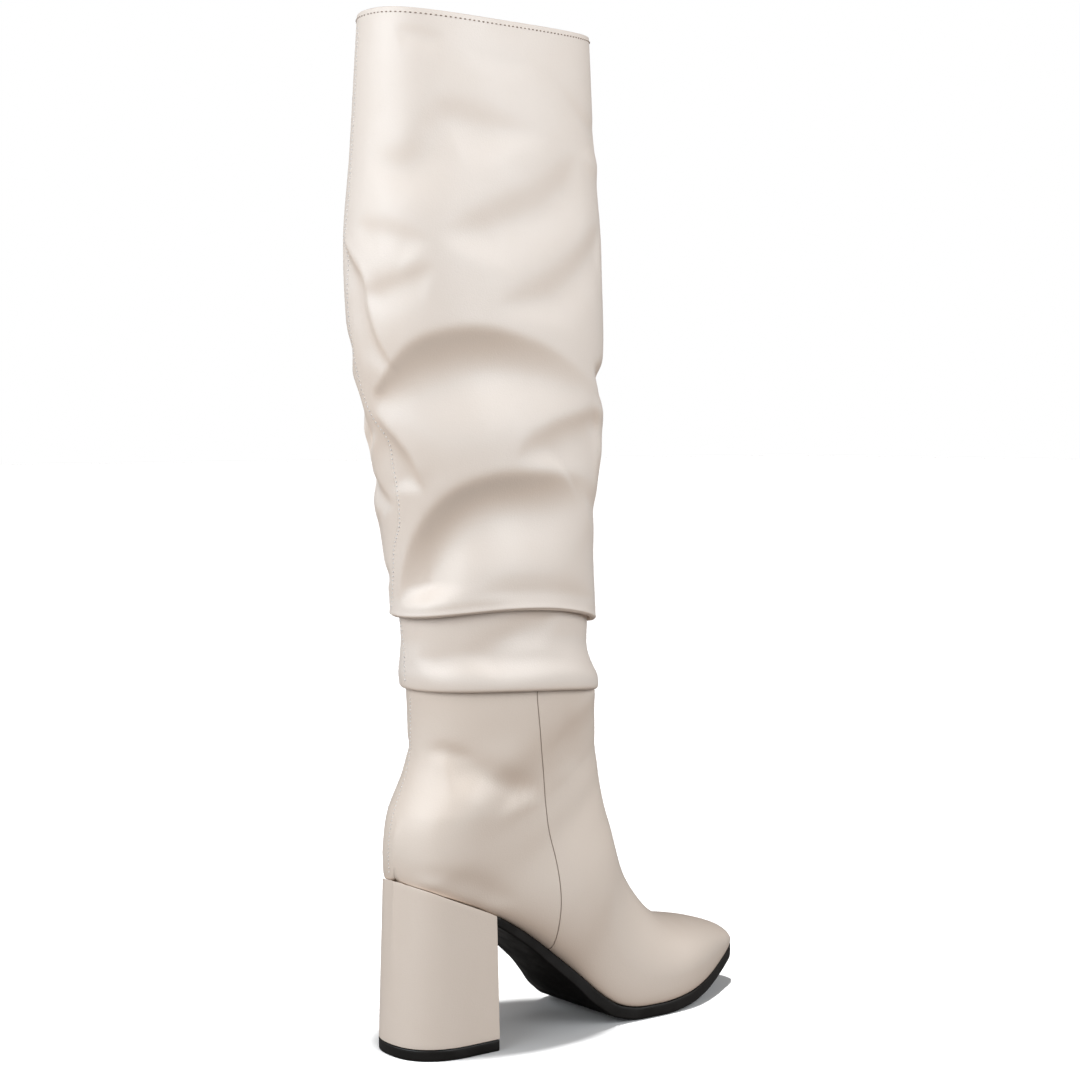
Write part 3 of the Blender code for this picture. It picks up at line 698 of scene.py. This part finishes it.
# Creases of the slouch as seen in the photograph, their lips in thousandths of the way round and
# of the height.
outerTable = {
    "upperArch": (21, 31, 1.2, 12, 0.04, 0.5, (-2, 440), (12, 446), (28, 458), (45, 474), (80, 502),
        (115, 520), (160, 530), (200, 530), (235, 521), (270, 502), (310, 476), (350, 456), (385, 444)),
    "lowerArch": (17, 29, 1.4, 11.5, 0.04, 0.52, (-10, 95), (-2, 138), (11, 178), (32, 212), (60, 242),
        (90, 268), (118, 286), (150, 299), (190, 308), (240, 311), (300, 312), (360, 306), (420, 292)),
    "rightCrease": (9, 22, 1.4, 5, 0.25, 0.3, (212, 325), (240, 365), (270, 390), (310, 406), (361, 417),
        (430, 412)),
    "seamCrease": (4.2, 18, 0.8, 4.2, 0.34, 0.25, (-10, 412), (6, 400), (20, 386), (39, 366), (56, 343),
        (68, 310), (74, 285)),
    "backDent": (12, 12, 2.4, 3.6, 0.35, 0.4, (-62, 408), (-45, 412), (-20, 402), (4, 384)),
    "backNick": (4, 9, 1.2, 2.8, 0.45, 0.3, (-90, 318), (-55, 308), (-24, 296), (-4, 280), (10, 262)),
    "leftBulge": (9, 13, 3, -3.8, 0.4, 0.45, (-165, 402), (-120, 410), (-80, 410), (-35, 400), (-5, 390)),
    "leftBelly": (8, 11, 3, -2, 0.4, 0.4, (-165, 285), (-110, 290), (-65, 284), (-20, 264)),
    "leftNotch": (6, 8, 2.2, 2.2, 0.4, 0.4, (-150, 318), (-100, 322), (-62, 318), (-20, 304)),
    "leftNick": (6, 6, 1.4, 2.2, 0.35, 0.35, (-130, 178), (-95, 176), (-60, 172), (-20, 165)),
    "leftWaist": (11, 13, 2.5, 2.8, 0.35, 0.35, (-140, 545), (-100, 540), (-60, 530), (-20, 515)),
    "rightDip": (8.5, 9, 1.6, 5.2, 0.35, 0.35, (345, 488), (380, 490), (415, 490), (460, 487), (500, 482)),
    "rightBelly": (8, 12, 2, -2.6, 0.35, 0.35, (350, 432), (385, 434), (420, 432), (470, 425)),
    "rightWaist": (8, 10, 2, 2, 0.35, 0.35, (330, 290), (370, 292), (410, 290), (460, 282)),
    "rimBelly": (5, 10, 1.6, -1.8, 0.35, 0.35, (330, 812), (370, 818), (420, 818), (470, 812)),
    "backPleat": (3.2, 14, 0.6, 3.8, 0.2, 0.25, (-60, 690), (-36, 665), (-8, 640), (15, 605), (22, 560),
        (34, 520), (50, 485), (62, 462)),
    "boomerang": (13, 18, 3, 3.6, 0.3, 0.3, (10, 800), (60, 795), (92, 805), (115, 845), (145, 872),
        (186, 872), (250, 852), (290, 828)),
    "softLeft": (7, 14, 2.2, 2.4, 0.3, 0.3, (-10, 700), (19, 695), (78, 688), (140, 660)),
    "softMiddle": (13, 18, 3, 3.8, 0.3, 0.3, (130, 670), (183, 705), (239, 740), (300, 795), (330, 825)),
    "softLow": (6, 12, 2.2, 2.2, 0.3, 0.3, (0, 590), (44, 602), (95, 618), (140, 628)),
    "softRight": (11, 16, 2.6, 3.4, 0.3, 0.3, (200, 560), (250, 602), (300, 645), (360, 695), (410, 715)),
    "rimRight": (6, 10, 2, 1.7, 0.5, 0.3, (280, 945), (322, 905), (360, 880), (400, 870), (450, 866)),
    "rimLeft": (5, 7, 1.6, 1, 0.3, 0.3, (60, 978), (110, 975), (160, 965)),
    "rimMiddle": (5, 8, 1.8, 0.6, 0.3, 0.3, (180, 958), (220, 953), (270, 943)),
    "rightBulge": (10, 16, 2.5, -2.4, 0.3, 0.3, (330, 395), (390, 392), (450, 385), (500, 375)),
    "foldBelly": (9, 8, 2.2, 1.2, 0.4, 0.3, (130, 134), (190, 146), (250, 150), (320, 142), (390, 128)),
    "lowFoldBelly": (6, 9, 2, 2.2, 0.2, 0.5, (0, 38), (60, 46), (120, 48), (190, 40), (260, 36), (340, 26)),
    "bandDent": (8, 10, 2.5, 1.8, 0.3, 0.3, (100, 40), (160, 62), (220, 90), (300, 105)),
}
# The side that the photograph doesn't show is guessed: the same kinds of crease, moved a little.
innerTable = {
    "innerUpperArch": (14, 30, 1.4, 8.5, 0.25, 0.15, (590, 440), (650, 485), (720, 520), (790, 530),
        (860, 510), (930, 470), (975, 430)),
    "innerLowerArch": (13, 34, 1.8, 8.5, 0.25, 0.2, (580, 270), (650, 300), (730, 307), (800, 292),
        (870, 252), (930, 190), (960, 130)),
    "frontCrease": (9, 20, 1.4, 4.8, 0.3, 0.3, (420, 370), (470, 382), (530, 372), (580, 345)),
    "frontArch": (11, 24, 2, 4.6, 0.3, 0.3, (440, 560), (500, 592), (570, 592), (640, 560)),
    "innerSoftHigh": (12, 18, 3, 2.4, 0.3, 0.3, (600, 760), (670, 792), (740, 782), (810, 740)),
    "innerSoftLow": (10, 16, 2.6, 2, 0.3, 0.3, (740, 620), (810, 662), (880, 682), (940, 660)),
    "innerBelly": (9, 8, 1.6, 2, 0.3, 0.3, (580, 132), (680, 146), (780, 148), (880, 132)),
    "innerLowBelly": (6, 8, 1.4, 1.8, 0.3, 0.3, (620, 10), (700, 20), (800, 20), (880, 10)),
}
shaftSize = np.array((shaftSettings["girth"], shaftSettings["height"]))
shaftCreases = creaseRows({**outerTable, **innerTable}, 1000, shaftSize)
# wide arches, which are open below
arches = (
    "upperArch", "lowerArch", "innerUpperArch", "innerLowerArch", "frontCrease", "frontArch",
    "innerSoftHigh", "innerSoftLow",
)
for name in arches:
    shaftCreases[name]["arch"] = True
shaftCreases["upperArch"]["grow"] = (0.36, 0.60)
shaftCreases["lowerArch"].update(grow=(0.16, 0.40), floor=36.0)
# The back seam wanders with the slouch: (share of the way round, level above the ankle).
backSeamOfShaft = (
    (-0.016, -6), (-0.020, 4), (-0.025, 12), (-0.037, 27), (-0.034, 34), (-0.030, 40), (-0.016, 54),
    (-0.008, 66), (0.002, 73), (0.012, 80), (0.015, 93), (0.011, 108), (0.011, 120), (-0.003, 130),
    (-0.0245, 148), (-0.036, 180), (-0.036, 222), (-0.030, 239), (-0.033, 259), (-0.031, 290),
    (-0.033, 318), (-0.033, 330),
)


def ringAt(levels):
    # middle, half depth, half width and squareness
    rings = np.array(ringTable)
    return (easyCurve(rings[:, 0], rings[:, k], levels) for k in range(1, 5))


def squared(out, half, square):
    return half * np.sign(out) * np.abs(out) ** (2 / square)


def shaftGrid(settings):
    # rows from the hidden end of the lowest fold up to the collar, with each row's own level
    fine = settings["foldRows"]
    table = np.array(foldTable)
    folds = looseCurve(table, fine * (len(table) - 1))
    share = np.linspace(0, 1, settings["calfRows"] + 1)[1:]
    start = table[-1]
    ringLevel = start[0] + (settings["height"] - start[0]) * share
    level = start[1] + (settings["height"] - start[1]) * share
    fading = (1 - share) ** 2
    rim = share**3
    lift = start[3] * fading + settings["rimLift"] * rim
    calf = np.stack([ringLevel, level, 0 * level, lift, start[4] * fading + settings["rimTip"] * rim], axis=1)
    rows = np.concatenate([folds, calf])
    sink = np.concatenate([np.zeros(len(folds)), settings["rimSink"] * rim])
    centre, depth, width, square = (part[:, None] for part in ringAt(rows[:, 0]))
    turn = np.arange(settings["columns"])[None, :] / settings["columns"]
    outX, outY = -np.cos(2 * np.pi * turn), -np.sin(2 * np.pi * turn)
    sideways = np.hypot(outX / depth, outY / width)
    away = rows[:, 2][:, None] / sideways
    x = centre + squared(outX, depth, square) + away * outX / depth
    y = squared(outY, width, square) + away * outY / width
    rise = -np.cos(4 * np.pi * turn) * rows[:, 3][:, None] - outX * rows[:, 4][:, None]
    z = settings["ankle"] + (rows[:, 1] + sink)[:, None] + rise
    grid = np.stack([x, y, z], axis=-1)
    grid[fine:] = evened(grid[fine:], 2)
    hidden = np.arange(len(rows)) / fine
    # only rows that can be seen are creased
    below = np.clip((hidden - 3.0) / 2, 0, 1)
    shown = below * np.clip(np.maximum(10.5 - hidden, hidden - secondFoldRow), 0, 1)
    shown = np.where(hidden > len(table) - 1, 1.0, shown)
    return grid, rows[:, 1], np.broadcast_to(turn, grid.shape[:2]), shown


def makeShaft(settings):
    grid, levels, turn, shown = shaftGrid(settings)
    girth = settings["girth"]
    normals = gridNormals(grid, True)
    depth = np.zeros(grid.shape[:2])
    seam = np.where(turn < 0.5, -farOff, farOff)
    path = [(place * girth - seamOffset, level) for place, level in backSeamOfShaft]
    for shift in (-1, 0, 1):  # the unrolled shaft is laid out three times, so lines may cross turn 0
        flat = np.stack([(turn + shift) * girth, np.broadcast_to(levels[:, None], turn.shape)], axis=-1)
        flat = flat.reshape(-1, 2)
        near = np.abs(flat[:, 0] - girth / 2) < girth * 0.75
        found = np.zeros(len(flat))
        found[near] = pressedIn(flat[near], shaftCreases)
        depth += found.reshape(depth.shape)
        close = np.abs(flat[:, 0]) < girth * 0.15
        away = np.full(len(flat), farOff + 1000)
        away[close] = besideLine(flat[close], path)[0]
        away = away.reshape(seam.shape)
        seam = np.where(np.abs(away) < np.abs(seam), away, seam)
    collarFade = np.clip((settings["height"] - levels) / settings["collarFade"], 0, 1)
    grid = grid - normals * (depth * shown[:, None] * collarFade[:, None])[..., None]
    normals = gridNormals(grid, True)
    # over the rim and down inside as the turned hem
    top, outward = grid[-1], normals[-1]
    wall = settings["wall"]
    hem = []
    for step in np.radians((25, 65, 90, 115, 155, 180)):
        inward = wall / 2 * (1 - math.cos(step))
        hem.append(top - outward * inward + np.array([0, 0, wall / 2 * math.sin(step)]))
    count = 8
    bag = settings["height"] - foldTable[-1][0]
    for k in range(1, count + 1):
        row = len(grid) - 1 - int(round(settings["hemInside"] * k / count / bag * settings["calfRows"]))
        hem.append(grid[row] - normals[row] * wall)
    whole = np.concatenate([grid, np.array(hem)])
    seam = np.concatenate([seam, np.repeat(seam[-1:], len(hem), axis=0)])
    # the seam's distance, and the share facing down that carries the painted shade
    marks = {"backSeam": seam, "facesDownShade": downShadeShare(gridNormals(whole, True))}
    piece = sheetPiece("shaftLeather", whole, True, [shaftLeatherFinish], ["shaft"], marks)
    return piece, grid, normals, levels


shaftLeather, shaftPoints, shaftNormals, shaftLevels = makeShaft(shaftSettings)
print("shaft made:", len(shaftLeather.data.polygons), "faces")


# The lining inside the shaft

liningSettings = {
    "inset": 1.45,
    "lowInset": 2.5,
    "lowDepth": 53.0,
    "lowWidth": 38.5,
    "lowLevels": (40.0, 34.0, 27.0, 20.0, 13.0, 6.0, 0.0, -5.0, -10.0),
    "lastLevel": 48.0,
    "behindHem": 4.0,
    "columns": 88,
    "rows": 56,
}


def makeShaftLining(settings):
    # follows the leather from inside the hem down to the ankle, and passes the folds by
    calfStart = len(shaftLevels) - shaftSettings["calfRows"]
    firstLevel = shaftSettings["height"] - shaftSettings["hemInside"] + settings["behindHem"]
    columns = np.linspace(0, shaftSettings["columns"], settings["columns"], endpoint=False).astype(int)
    rows = []
    for level in np.linspace(firstLevel, settings["lastLevel"], settings["rows"]):
        row = int(np.argmin(np.abs(shaftLevels[calfStart:] - level))) + calfStart
        rows.append(shaftPoints[row, columns] - shaftNormals[row, columns] * settings["inset"])
    angle = 2 * np.pi * columns / shaftSettings["columns"]
    for level in settings["lowLevels"]:
        centre, depth, width, square = ringAt(max(level, 0.0))
        depth = min(depth, settings["lowDepth"]) - settings["lowInset"]
        width = min(width, settings["lowWidth"]) - settings["lowInset"]
        x = centre + squared(-np.cos(angle), depth, square)
        y = squared(-np.sin(angle), width, square)
        rows.append(np.stack([x, y, np.full(len(x), shaftSettings["ankle"] + level)], axis=-1))
    return sheetPiece("shaftLining", np.array(rows), True, [liningFinish])


shaftLining = makeShaftLining(liningSettings)
print("lining made")


# The base line of the upper, which the sole, the heel and the insole follow

def seatLine():
    places = np.linspace(heelRow, 0, heelRow * 8 + 1)
    row = footAt(places)
    return np.stack([row["baseX"], row["baseZ"], row["centre"], row["base"]], axis=1)


seat = seatLine()


def seatHeight(x):
    return np.interp(x, seat[:, 0], seat[:, 1])


def steepness(x):
    return np.hypot(1, (seatHeight(x + 1.5) - seatHeight(x - 1.5)) / 3)


def baseSides(margin):
    # outer and inner side of the base outline moved outward, from the heel to the toe
    sides = []
    for side in (-1, 1):
        curve = np.stack([seat[:, 0], seat[:, 2] + side * seat[:, 3]], axis=1)
        run = np.gradient(curve, axis=0)
        run[0], run[-1] = (0, side), (0, -side)
        run /= np.linalg.norm(run, axis=1)[:, None]
        sides.append(curve + margin * side * np.stack([-run[:, 1], run[:, 0]], axis=1))
    return sides


# The outsole

outsoleSettings = {
    "breast": 24.8,
    "margin": 1.0,
    "gap": 0.3,
    "forepart": 6.6,
    "waist": 4.6,
    "stations": 150,
    "bevel": 1.1,
    "across": 26,
    "treadStart": 112,
    "treadEnd": 205,
}


def makeOutsole(settings):
    outer, inner = baseSides(settings["margin"])
    start, end = settings["breast"], outer[-1, 0]
    # stations lie closer together at the toe, where the outline turns
    x = start + (end - start) * np.sin(np.pi / 2 * np.linspace(0, 1, settings["stations"]))
    left, right = (np.interp(x, side[:, 0], side[:, 1]) for side in (outer, inner))
    high = seatHeight(x) - settings["gap"] * steepness(x)
    places = (start, (start + end) / 2, end)
    fullness = easyCurve(places, (0, 1, 1), x)
    depth = settings["waist"] + (settings["forepart"] - settings["waist"]) * fullness
    low = high - depth * steepness(x)
    bevel = np.minimum(settings["bevel"], (right - left) / 4)
    # from the top of one side down to its lower edge: how far in, and how high
    wall = [
        (bevel * inset, low + bevel + (high - low - bevel) * lift)
        for lift, inset in ((1.0, 0.9), (1.0, 0.25), (0.93, 0.0), (0.7, 0.0), (0.45, 0.0), (0.0, 0.0))
    ]
    for angle in np.radians((20, 45, 70)):
        wall.append((bevel * (1 - math.cos(angle)), low + bevel * (1 - math.sin(angle))))
    ring = [(left + inset, level) for inset, level in wall]
    for share in np.linspace(0, 1, settings["across"]):
        ring.append((left + bevel + (right - left - 2 * bevel) * share, low))
    ring += [(right - inset, level) for inset, level in wall[::-1]]
    grid = stationGrid(x, ring)
    middle = (grid[..., 1] - (left + right)[:, None] / 2) / np.maximum((right - left)[:, None] / 2, 0.1)
    fore = np.clip((x - settings["treadStart"]) / 6, 0, 1) * np.clip((settings["treadEnd"] - x) / 6, 0, 1)
    marks = {"tread": fore[:, None] * np.clip((0.86 - np.abs(middle)) / 0.04, 0, 1)}
    piece = sheetPiece("outsoleRubber", grid, True, [outsoleFinish], ["outsole"], marks, 1)
    joinPoints(piece, True)
    return piece


outsoleRubber = makeOutsole(outsoleSettings)
print("outsole made")


# The covered heel and its lift

heelSettings = {
    "depth": 49.0,
    "width": 55.0,
    "lift": 5.8,
    "gap": 0.3,
    "straight": 0.35,
    "square": 2.4,
    "stations": 36,
    "breastColumns": 16,
    "layers": 30,
    "bevel": 1.8,
    "liftBevel": 0.7,
}


def treadLine(share, settings):
    bend = np.maximum(0.0, share - settings["straight"]) / (1 - settings["straight"])
    half = settings["width"] / 2 * (1 - bend ** settings["square"]) ** (1 / settings["square"])
    return settings["depth"] * (0.5 - share), half


def closedOutline(x, outer, inner, columns):
    # down the outer side to the back, up the inner side, then straight across the breast
    line = [(a, b) for a, b in zip(x, outer)]
    line += [(a, b) for a, b in zip(x[-2::-1], inner[-2::-1])]
    across = np.linspace(inner[0], outer[0], columns + 1)[1:-1]
    return np.array(line + [(x[0], b) for b in across])


def makeHeel(settings):
    share = np.sin(np.pi / 2 * np.linspace(0, 1, settings["stations"] + 1))
    outer, inner = baseSides(1.0)
    x, half = treadLine(share, settings)
def makeHeel(settings):
    share = np.sin(np.pi / 2 * np.linspace(0, 1, settings["stations"] + 1))
    outer, inner = baseSides(1.0)
    x, half = treadLine(share, settings)
    bottom = closedOutline(x, -half, half, settings["breastColumns"])
    front, back = settings["depth"] / 2, outer[0, 0]
    topX = front + (back - front) * share
    left, right = (np.interp(topX, side[:, 0], side[:, 1]) for side in (outer, inner))
    top = closedOutline(topX, left, right, settings["breastColumns"])
    low = settings["lift"] + settings["gap"]
    high = seatHeight(top[:, 0]) - settings["gap"] * steepness(top[:, 0])
    rows = []
    for v in np.linspace(0, 1, settings["layers"] + 1):
        flat = bottom + (top - bottom) * v
        rows.append(np.column_stack([flat, low + (high - low) * v]))
    piece = sheetPiece("heelLeather", np.array(rows), True, [heelLeatherFinish], ["heel"], caps=2)
    joinPoints(piece, True)
    softEdges(piece, settings["bevel"], 4)
    return piece


def makeTopLift(settings):
    share = np.sin(np.pi / 2 * np.linspace(0, 1, settings["stations"] + 1))
    x, half = treadLine(share, settings)
    outline = closedOutline(x, -half, half, settings["breastColumns"])
    rows, tread = [], []
    top = settings["lift"]
    for inset, level in ((0.55, 0.0), (0.3, 0.0), (0.0, 0.0), (0.0, 1.9), (0.0, 3.9), (0.0, top)):
        rows.append(np.column_stack([outline * (1 - inset), np.full(len(outline), level)]))
        tread.append(np.full(len(outline), 1.0 if inset > 0.1 else 0.0))
    marks = {"tread": tread}
    piece = sheetPiece("topLiftRubber", np.array(rows), True, [liftFinish], ["top_lift"], marks, 2)
    joinPoints(piece, True)
    softEdges(piece, settings["liftBevel"], 3)
    return piece


heelLeather = makeHeel(heelSettings)
topLift = makeTopLift(heelSettings)
print("heel and lift made")


# The insole

insoleSettings = {"clearance": 2.4, "thickness": 2.5, "edge": 0.8, "stations": 90, "across": 14}


def makeInsole(settings):
    outer, inner = baseSides(-settings["clearance"])
    start, end = outer[0, 0], outer[-1, 0]
    middle, half = (start + end) / 2, (end - start) / 2
    x = middle - half * np.cos(np.pi * np.linspace(0, 1, settings["stations"]))
    left, right = (np.interp(x, side[:, 0], side[:, 1]) for side in (outer, inner))
    low = seatHeight(x)
    high = low + settings["thickness"] * steepness(x)
    edge = np.minimum(settings["edge"], (right - left) / 4)
    ring = [(left, low), (left, high - edge), (left + edge * 0.3, high - edge * 0.3)]
    for share in np.linspace(0, 1, settings["across"]):
        ring.append((left + edge + (right - left - 2 * edge) * share, high))
    ring += [(right - edge * 0.3, high - edge * 0.3), (right, high - edge), (right, low)]
    piece = sheetPiece("insoleCover", stationGrid(x, ring), True, [liningFinish], ["insole"])
    joinPoints(piece, True)
    return piece


insoleCover = makeInsole(insoleSettings)
print("insole made")


# Stitches, each a short thread that dips into the leather at both ends

stitchSettings = {
    "thread": 0.62,
    "sides": 6,
    "steps": 5,
    "share": 0.50,
    "stand": 0.24,
    "sink": 0.9,
    "belowRim": 2.0,
    "collarPitch": 2.5,
    "backPitch": 2.3,
    "counterPitch": 2.0,
}


def surfacePlace(row, column):
    # a point between the rows and columns of the shaft's sheet, and the way out of it
    i = np.clip(np.floor(row).astype(int), 0, len(shaftPoints) - 2)
    s = (row - i)[:, None]
    j = np.floor(column).astype(int)
    t = (column - j)[:, None]
    a, b = j % shaftPoints.shape[1], (j + 1) % shaftPoints.shape[1]
    found = []
    for sheet in (shaftPoints, shaftNormals):
        low = sheet[i, a] * (1 - t) + sheet[i, b] * t
        high = sheet[i + 1, a] * (1 - t) + sheet[i + 1, b] * t
        found.append(low * (1 - s) + high * s)
    return found[0], found[1] / np.linalg.norm(found[1], axis=1)[:, None]


def stitchRow(name, places, outs, pitch, finish, settings=stitchSettings):
    # thread by thread along a line of close places with their outward directions
    lengths = np.concatenate([[0.0], np.cumsum(np.linalg.norm(np.diff(places, axis=0), axis=1))])
    count = int(lengths[-1] / pitch)
    points, faces = [], []
    sides, steps, radius = settings["sides"], settings["steps"], settings["thread"] / 2
    arc = np.sin(np.linspace(0, np.pi, steps))
    lift = settings["stand"] - settings["thread"] * settings["sink"] * (1 - arc)
    for k in range(count):
        at = (np.linspace(0, settings["share"], steps) + k) * pitch
        path, out = (
            np.stack([np.interp(at, lengths, part[:, axis]) for axis in range(3)], axis=1)
            for part in (places, outs)
        )
        out /= np.linalg.norm(out, axis=1)[:, None]
        along = path[-1] - path[0]
        along /= np.linalg.norm(along)
        path = path + out * lift[:, None]
        first = len(points)
        for centre, outward in zip(path, out):
            across = np.cross(along, outward)
            for angle in 2 * math.pi * np.arange(sides) / sides:
                points.append(centre + radius * (math.cos(angle) * outward + math.sin(angle) * across))
        for i in range(steps - 1):
            for s in range(sides):
                a, b = first + i * sides + s, first + i * sides + (s + 1) % sides
                faces.append([a, b, b + sides, a + sides])
        faces.append([first + s for s in range(sides)][::-1])
        faces.append([first + (steps - 1) * sides + s for s in range(sides)])
    meshPiece(name, points, faces, [finish])
    return count


def rowOfLevel(level, low, high):
    # the sheet's row at a level, within one stretch of rows where the level only climbs
    return np.interp(level, shaftLevels[low:high], np.arange(low, high))


def makeCollarStitches(settings):
    rim, last = shaftSettings["height"] - settings["belowRim"], len(shaftLevels)
    row = rowOfLevel(rim, last - shaftSettings["rimRows"], last)
    columns = np.linspace(0, shaftSettings["columns"], 1200)
    places, outs = surfacePlace(np.full(len(columns), row), columns)
    return stitchRow("collarStitches", places, outs, settings["collarPitch"], threadFinish)


def makeBackStitches(settings):
    # two stretches on the shaft that show, and one down the counter
    fine = shaftSettings["foldRows"]
    count = 0
    seam = looseCurve(backSeamOfShaft, 400)
    stretches = {
        "bagBackStitches": (36.0, 327.0, secondFoldRow * fine + 4, len(shaftLevels)),
        "bandBackStitches": (-3.0, 31.0, 5 * fine, 11 * fine - 2),
    }
    for name, (low, high, first, last) in stretches.items():
        keep = (seam[:, 1] > low) & (seam[:, 1] < high)
        rows = rowOfLevel(seam[keep, 1], first, last)
        places, outs = surfacePlace(rows, seam[keep, 0] * shaftSettings["columns"])
        count += stitchRow(name, places, outs, settings["backPitch"], paleThreadFinish)
    levels = np.linspace(92, 182, 200)
    seamY = np.interp(levels, *np.transpose(backSeamOfFoot))
    places, outs = [], []
    normals = gridNormals(upperGrid, False)
    back = upperGrid[..., 0] < footSettings["backEnd"]
    cloud, cloudNormals = upperGrid[back], normals[back]
    for level, y in zip(levels, seamY):
        gap = (cloud[:, 2] - level) ** 2 + (cloud[:, 1] - y) ** 2
        near = np.argsort(gap)[:6]
        weight = 1 / (gap[near] + 0.02)
        weight /= weight.sum()
        places.append(((cloud[near, 0] * weight).sum(), y, level))
        outs.append((cloudNormals[near] * weight[:, None]).sum(axis=0))
    places, outs = evened(np.array(places), 20), evened(np.array(outs), 20)
    return count + stitchRow("counterStitches", places, outs, settings["counterPitch"], paleThreadFinish)


stitches = makeCollarStitches(stitchSettings) + makeBackStitches(stitchSettings)
print("stitches made:", stitches)


# Floor, light and camera

studio = {
    "floorSize": 30.0,
    "floorSun": 5.9,
    "skyHigh": 0.22,
    "skyLow": 0.17,
    "heart": (0.04, 0.0, -0.30),
    "lampSize": 1.2,
}
lamps = {
    "keyLight": ((-1.400, -0.255, 0.800), 16.4, (0.89, 0.95, 1.0)),
    "leftLight": ((-1.340, 0.643, 0.740), 11.8, (0.89, 0.95, 1.0)),
    "rightLight": ((0.420, -1.412, 0.850), 18.2, (0.91, 0.96, 1.0)),
    "farRightLight": ((1.375, -0.770, 1.019), 5.0, (0.95, 0.98, 1.0)),
}
floorLook = {"colour": (0.9, 0.9, 0.9), "smooth": 0.9}


def makeFloor(settings):
    # pale to the camera, dark to the boot, so it throws hardly any light up
    size = settings["floorSize"] / 2
    mesh = bpy.data.meshes.new("studioFloor")
    corners = [(-size, -size, 0), (size, -size, 0), (size, size, 0), (-size, size, 0)]
    mesh.from_pydata(corners, [], [(0, 1, 2, 3)])
    floor = bpy.data.objects.new("studioFloor", mesh)
    bpy.context.scene.collection.objects.link(floor)
    made, tree, shader = blankMaterial("paleFloor", floorLook)
    grain = texture(tree, "ShaderNodeTexNoise", None, {"Scale": 900.0})["Fac"]
    seen = addNode(tree, "ShaderNodeLightPath").outputs["Is Camera Ray"]
    pale = mixColour(tree, grain, (0.55, 0.55, 0.55), (0.57, 0.57, 0.57))
    setInputs(tree, shader, {"Base Color": mixColour(tree, seen, (0.035, 0.033, 0.032), pale)})
    mesh.materials.append(made)
    return floor


def makeSky(settings):
    # white behind the boot, and for its light a soft tent that is brighter overhead
    world = bpy.data.worlds.new("studio")
    bpy.context.scene.world = world
    world.use_nodes = True
    tree = world.node_tree
    tree.nodes.clear()
    coords = addNode(tree, "ShaderNodeTexCoord").outputs["Generated"]
    up = addNode(tree, "ShaderNodeSeparateXYZ", None, {0: coords}).outputs["Z"]
    strength = rangeNode(tree, up, -0.1, 1.0, settings["skyLow"], settings["skyHigh"])
    tent = addNode(tree, "ShaderNodeBackground", None, {"Color": (1.0, 0.86, 0.76), "Strength": strength})
    plain = addNode(tree, "ShaderNodeBackground", None, {"Color": (1.0, 1.0, 1.0), "Strength": 1.0})
    seen = addNode(tree, "ShaderNodeLightPath").outputs["Is Camera Ray"]
    mix = addNode(tree, "ShaderNodeMixShader", None, {0: seen, 1: tent.outputs[0], 2: plain.outputs[0]})
    addNode(tree, "ShaderNodeOutputWorld", None, {0: mix.outputs[0]})


def addLight(name, kind, place, aim, settings):
    light = bpy.data.lights.new(name, kind)
    for key, value in settings.items():
        setattr(light, key, value)
    lamp = bpy.data.objects.new(name, light)
    bpy.context.scene.collection.objects.link(lamp)
    lamp.location = place
    run = np.array(aim, float) - np.array(place, float)
    flat = math.hypot(run[0], run[1])
    lamp.rotation_euler = (math.atan2(flat, -run[2]), 0, math.atan2(run[1], run[0]) - math.pi / 2)
    return lamp


def makeCamera():
    camera = bpy.data.objects.new("photoCamera", bpy.data.cameras.new("photoCamera"))
    bpy.context.scene.collection.objects.link(camera)
    camera.data.sensor_width = 36.0
    camera.data.lens = 72.13
    camera.location = (-0.6277, -0.8971, 0.3187)
    camera.rotation_euler = (math.radians(86.94), 0.0, math.radians(-37.94))
    bpy.context.scene.camera = camera


studioFloor = makeFloor(studio)
makeSky(studio)
for name, (place, energy, colour) in lamps.items():
    values = {"energy": energy, "size": studio["lampSize"], "color": colour}
    addLight(name, "AREA", place, studio["heart"], values)
sunValues = {"energy": studio["floorSun"], "angle": math.radians(2)}
floorSun = addLight("floorSun", "SUN", (-0.10, -0.03, 2.0), (0, 0, 0), sunValues)
floorOnly = bpy.data.collections.new("floorOnly")
floorOnly.objects.link(studioFloor)
floorSun.light_linking.receiver_collection = floorOnly  # whitens the floor and leaves the boot alone
makeCamera()
bpy.context.scene.view_settings.view_transform = "Standard"
print("studio made")
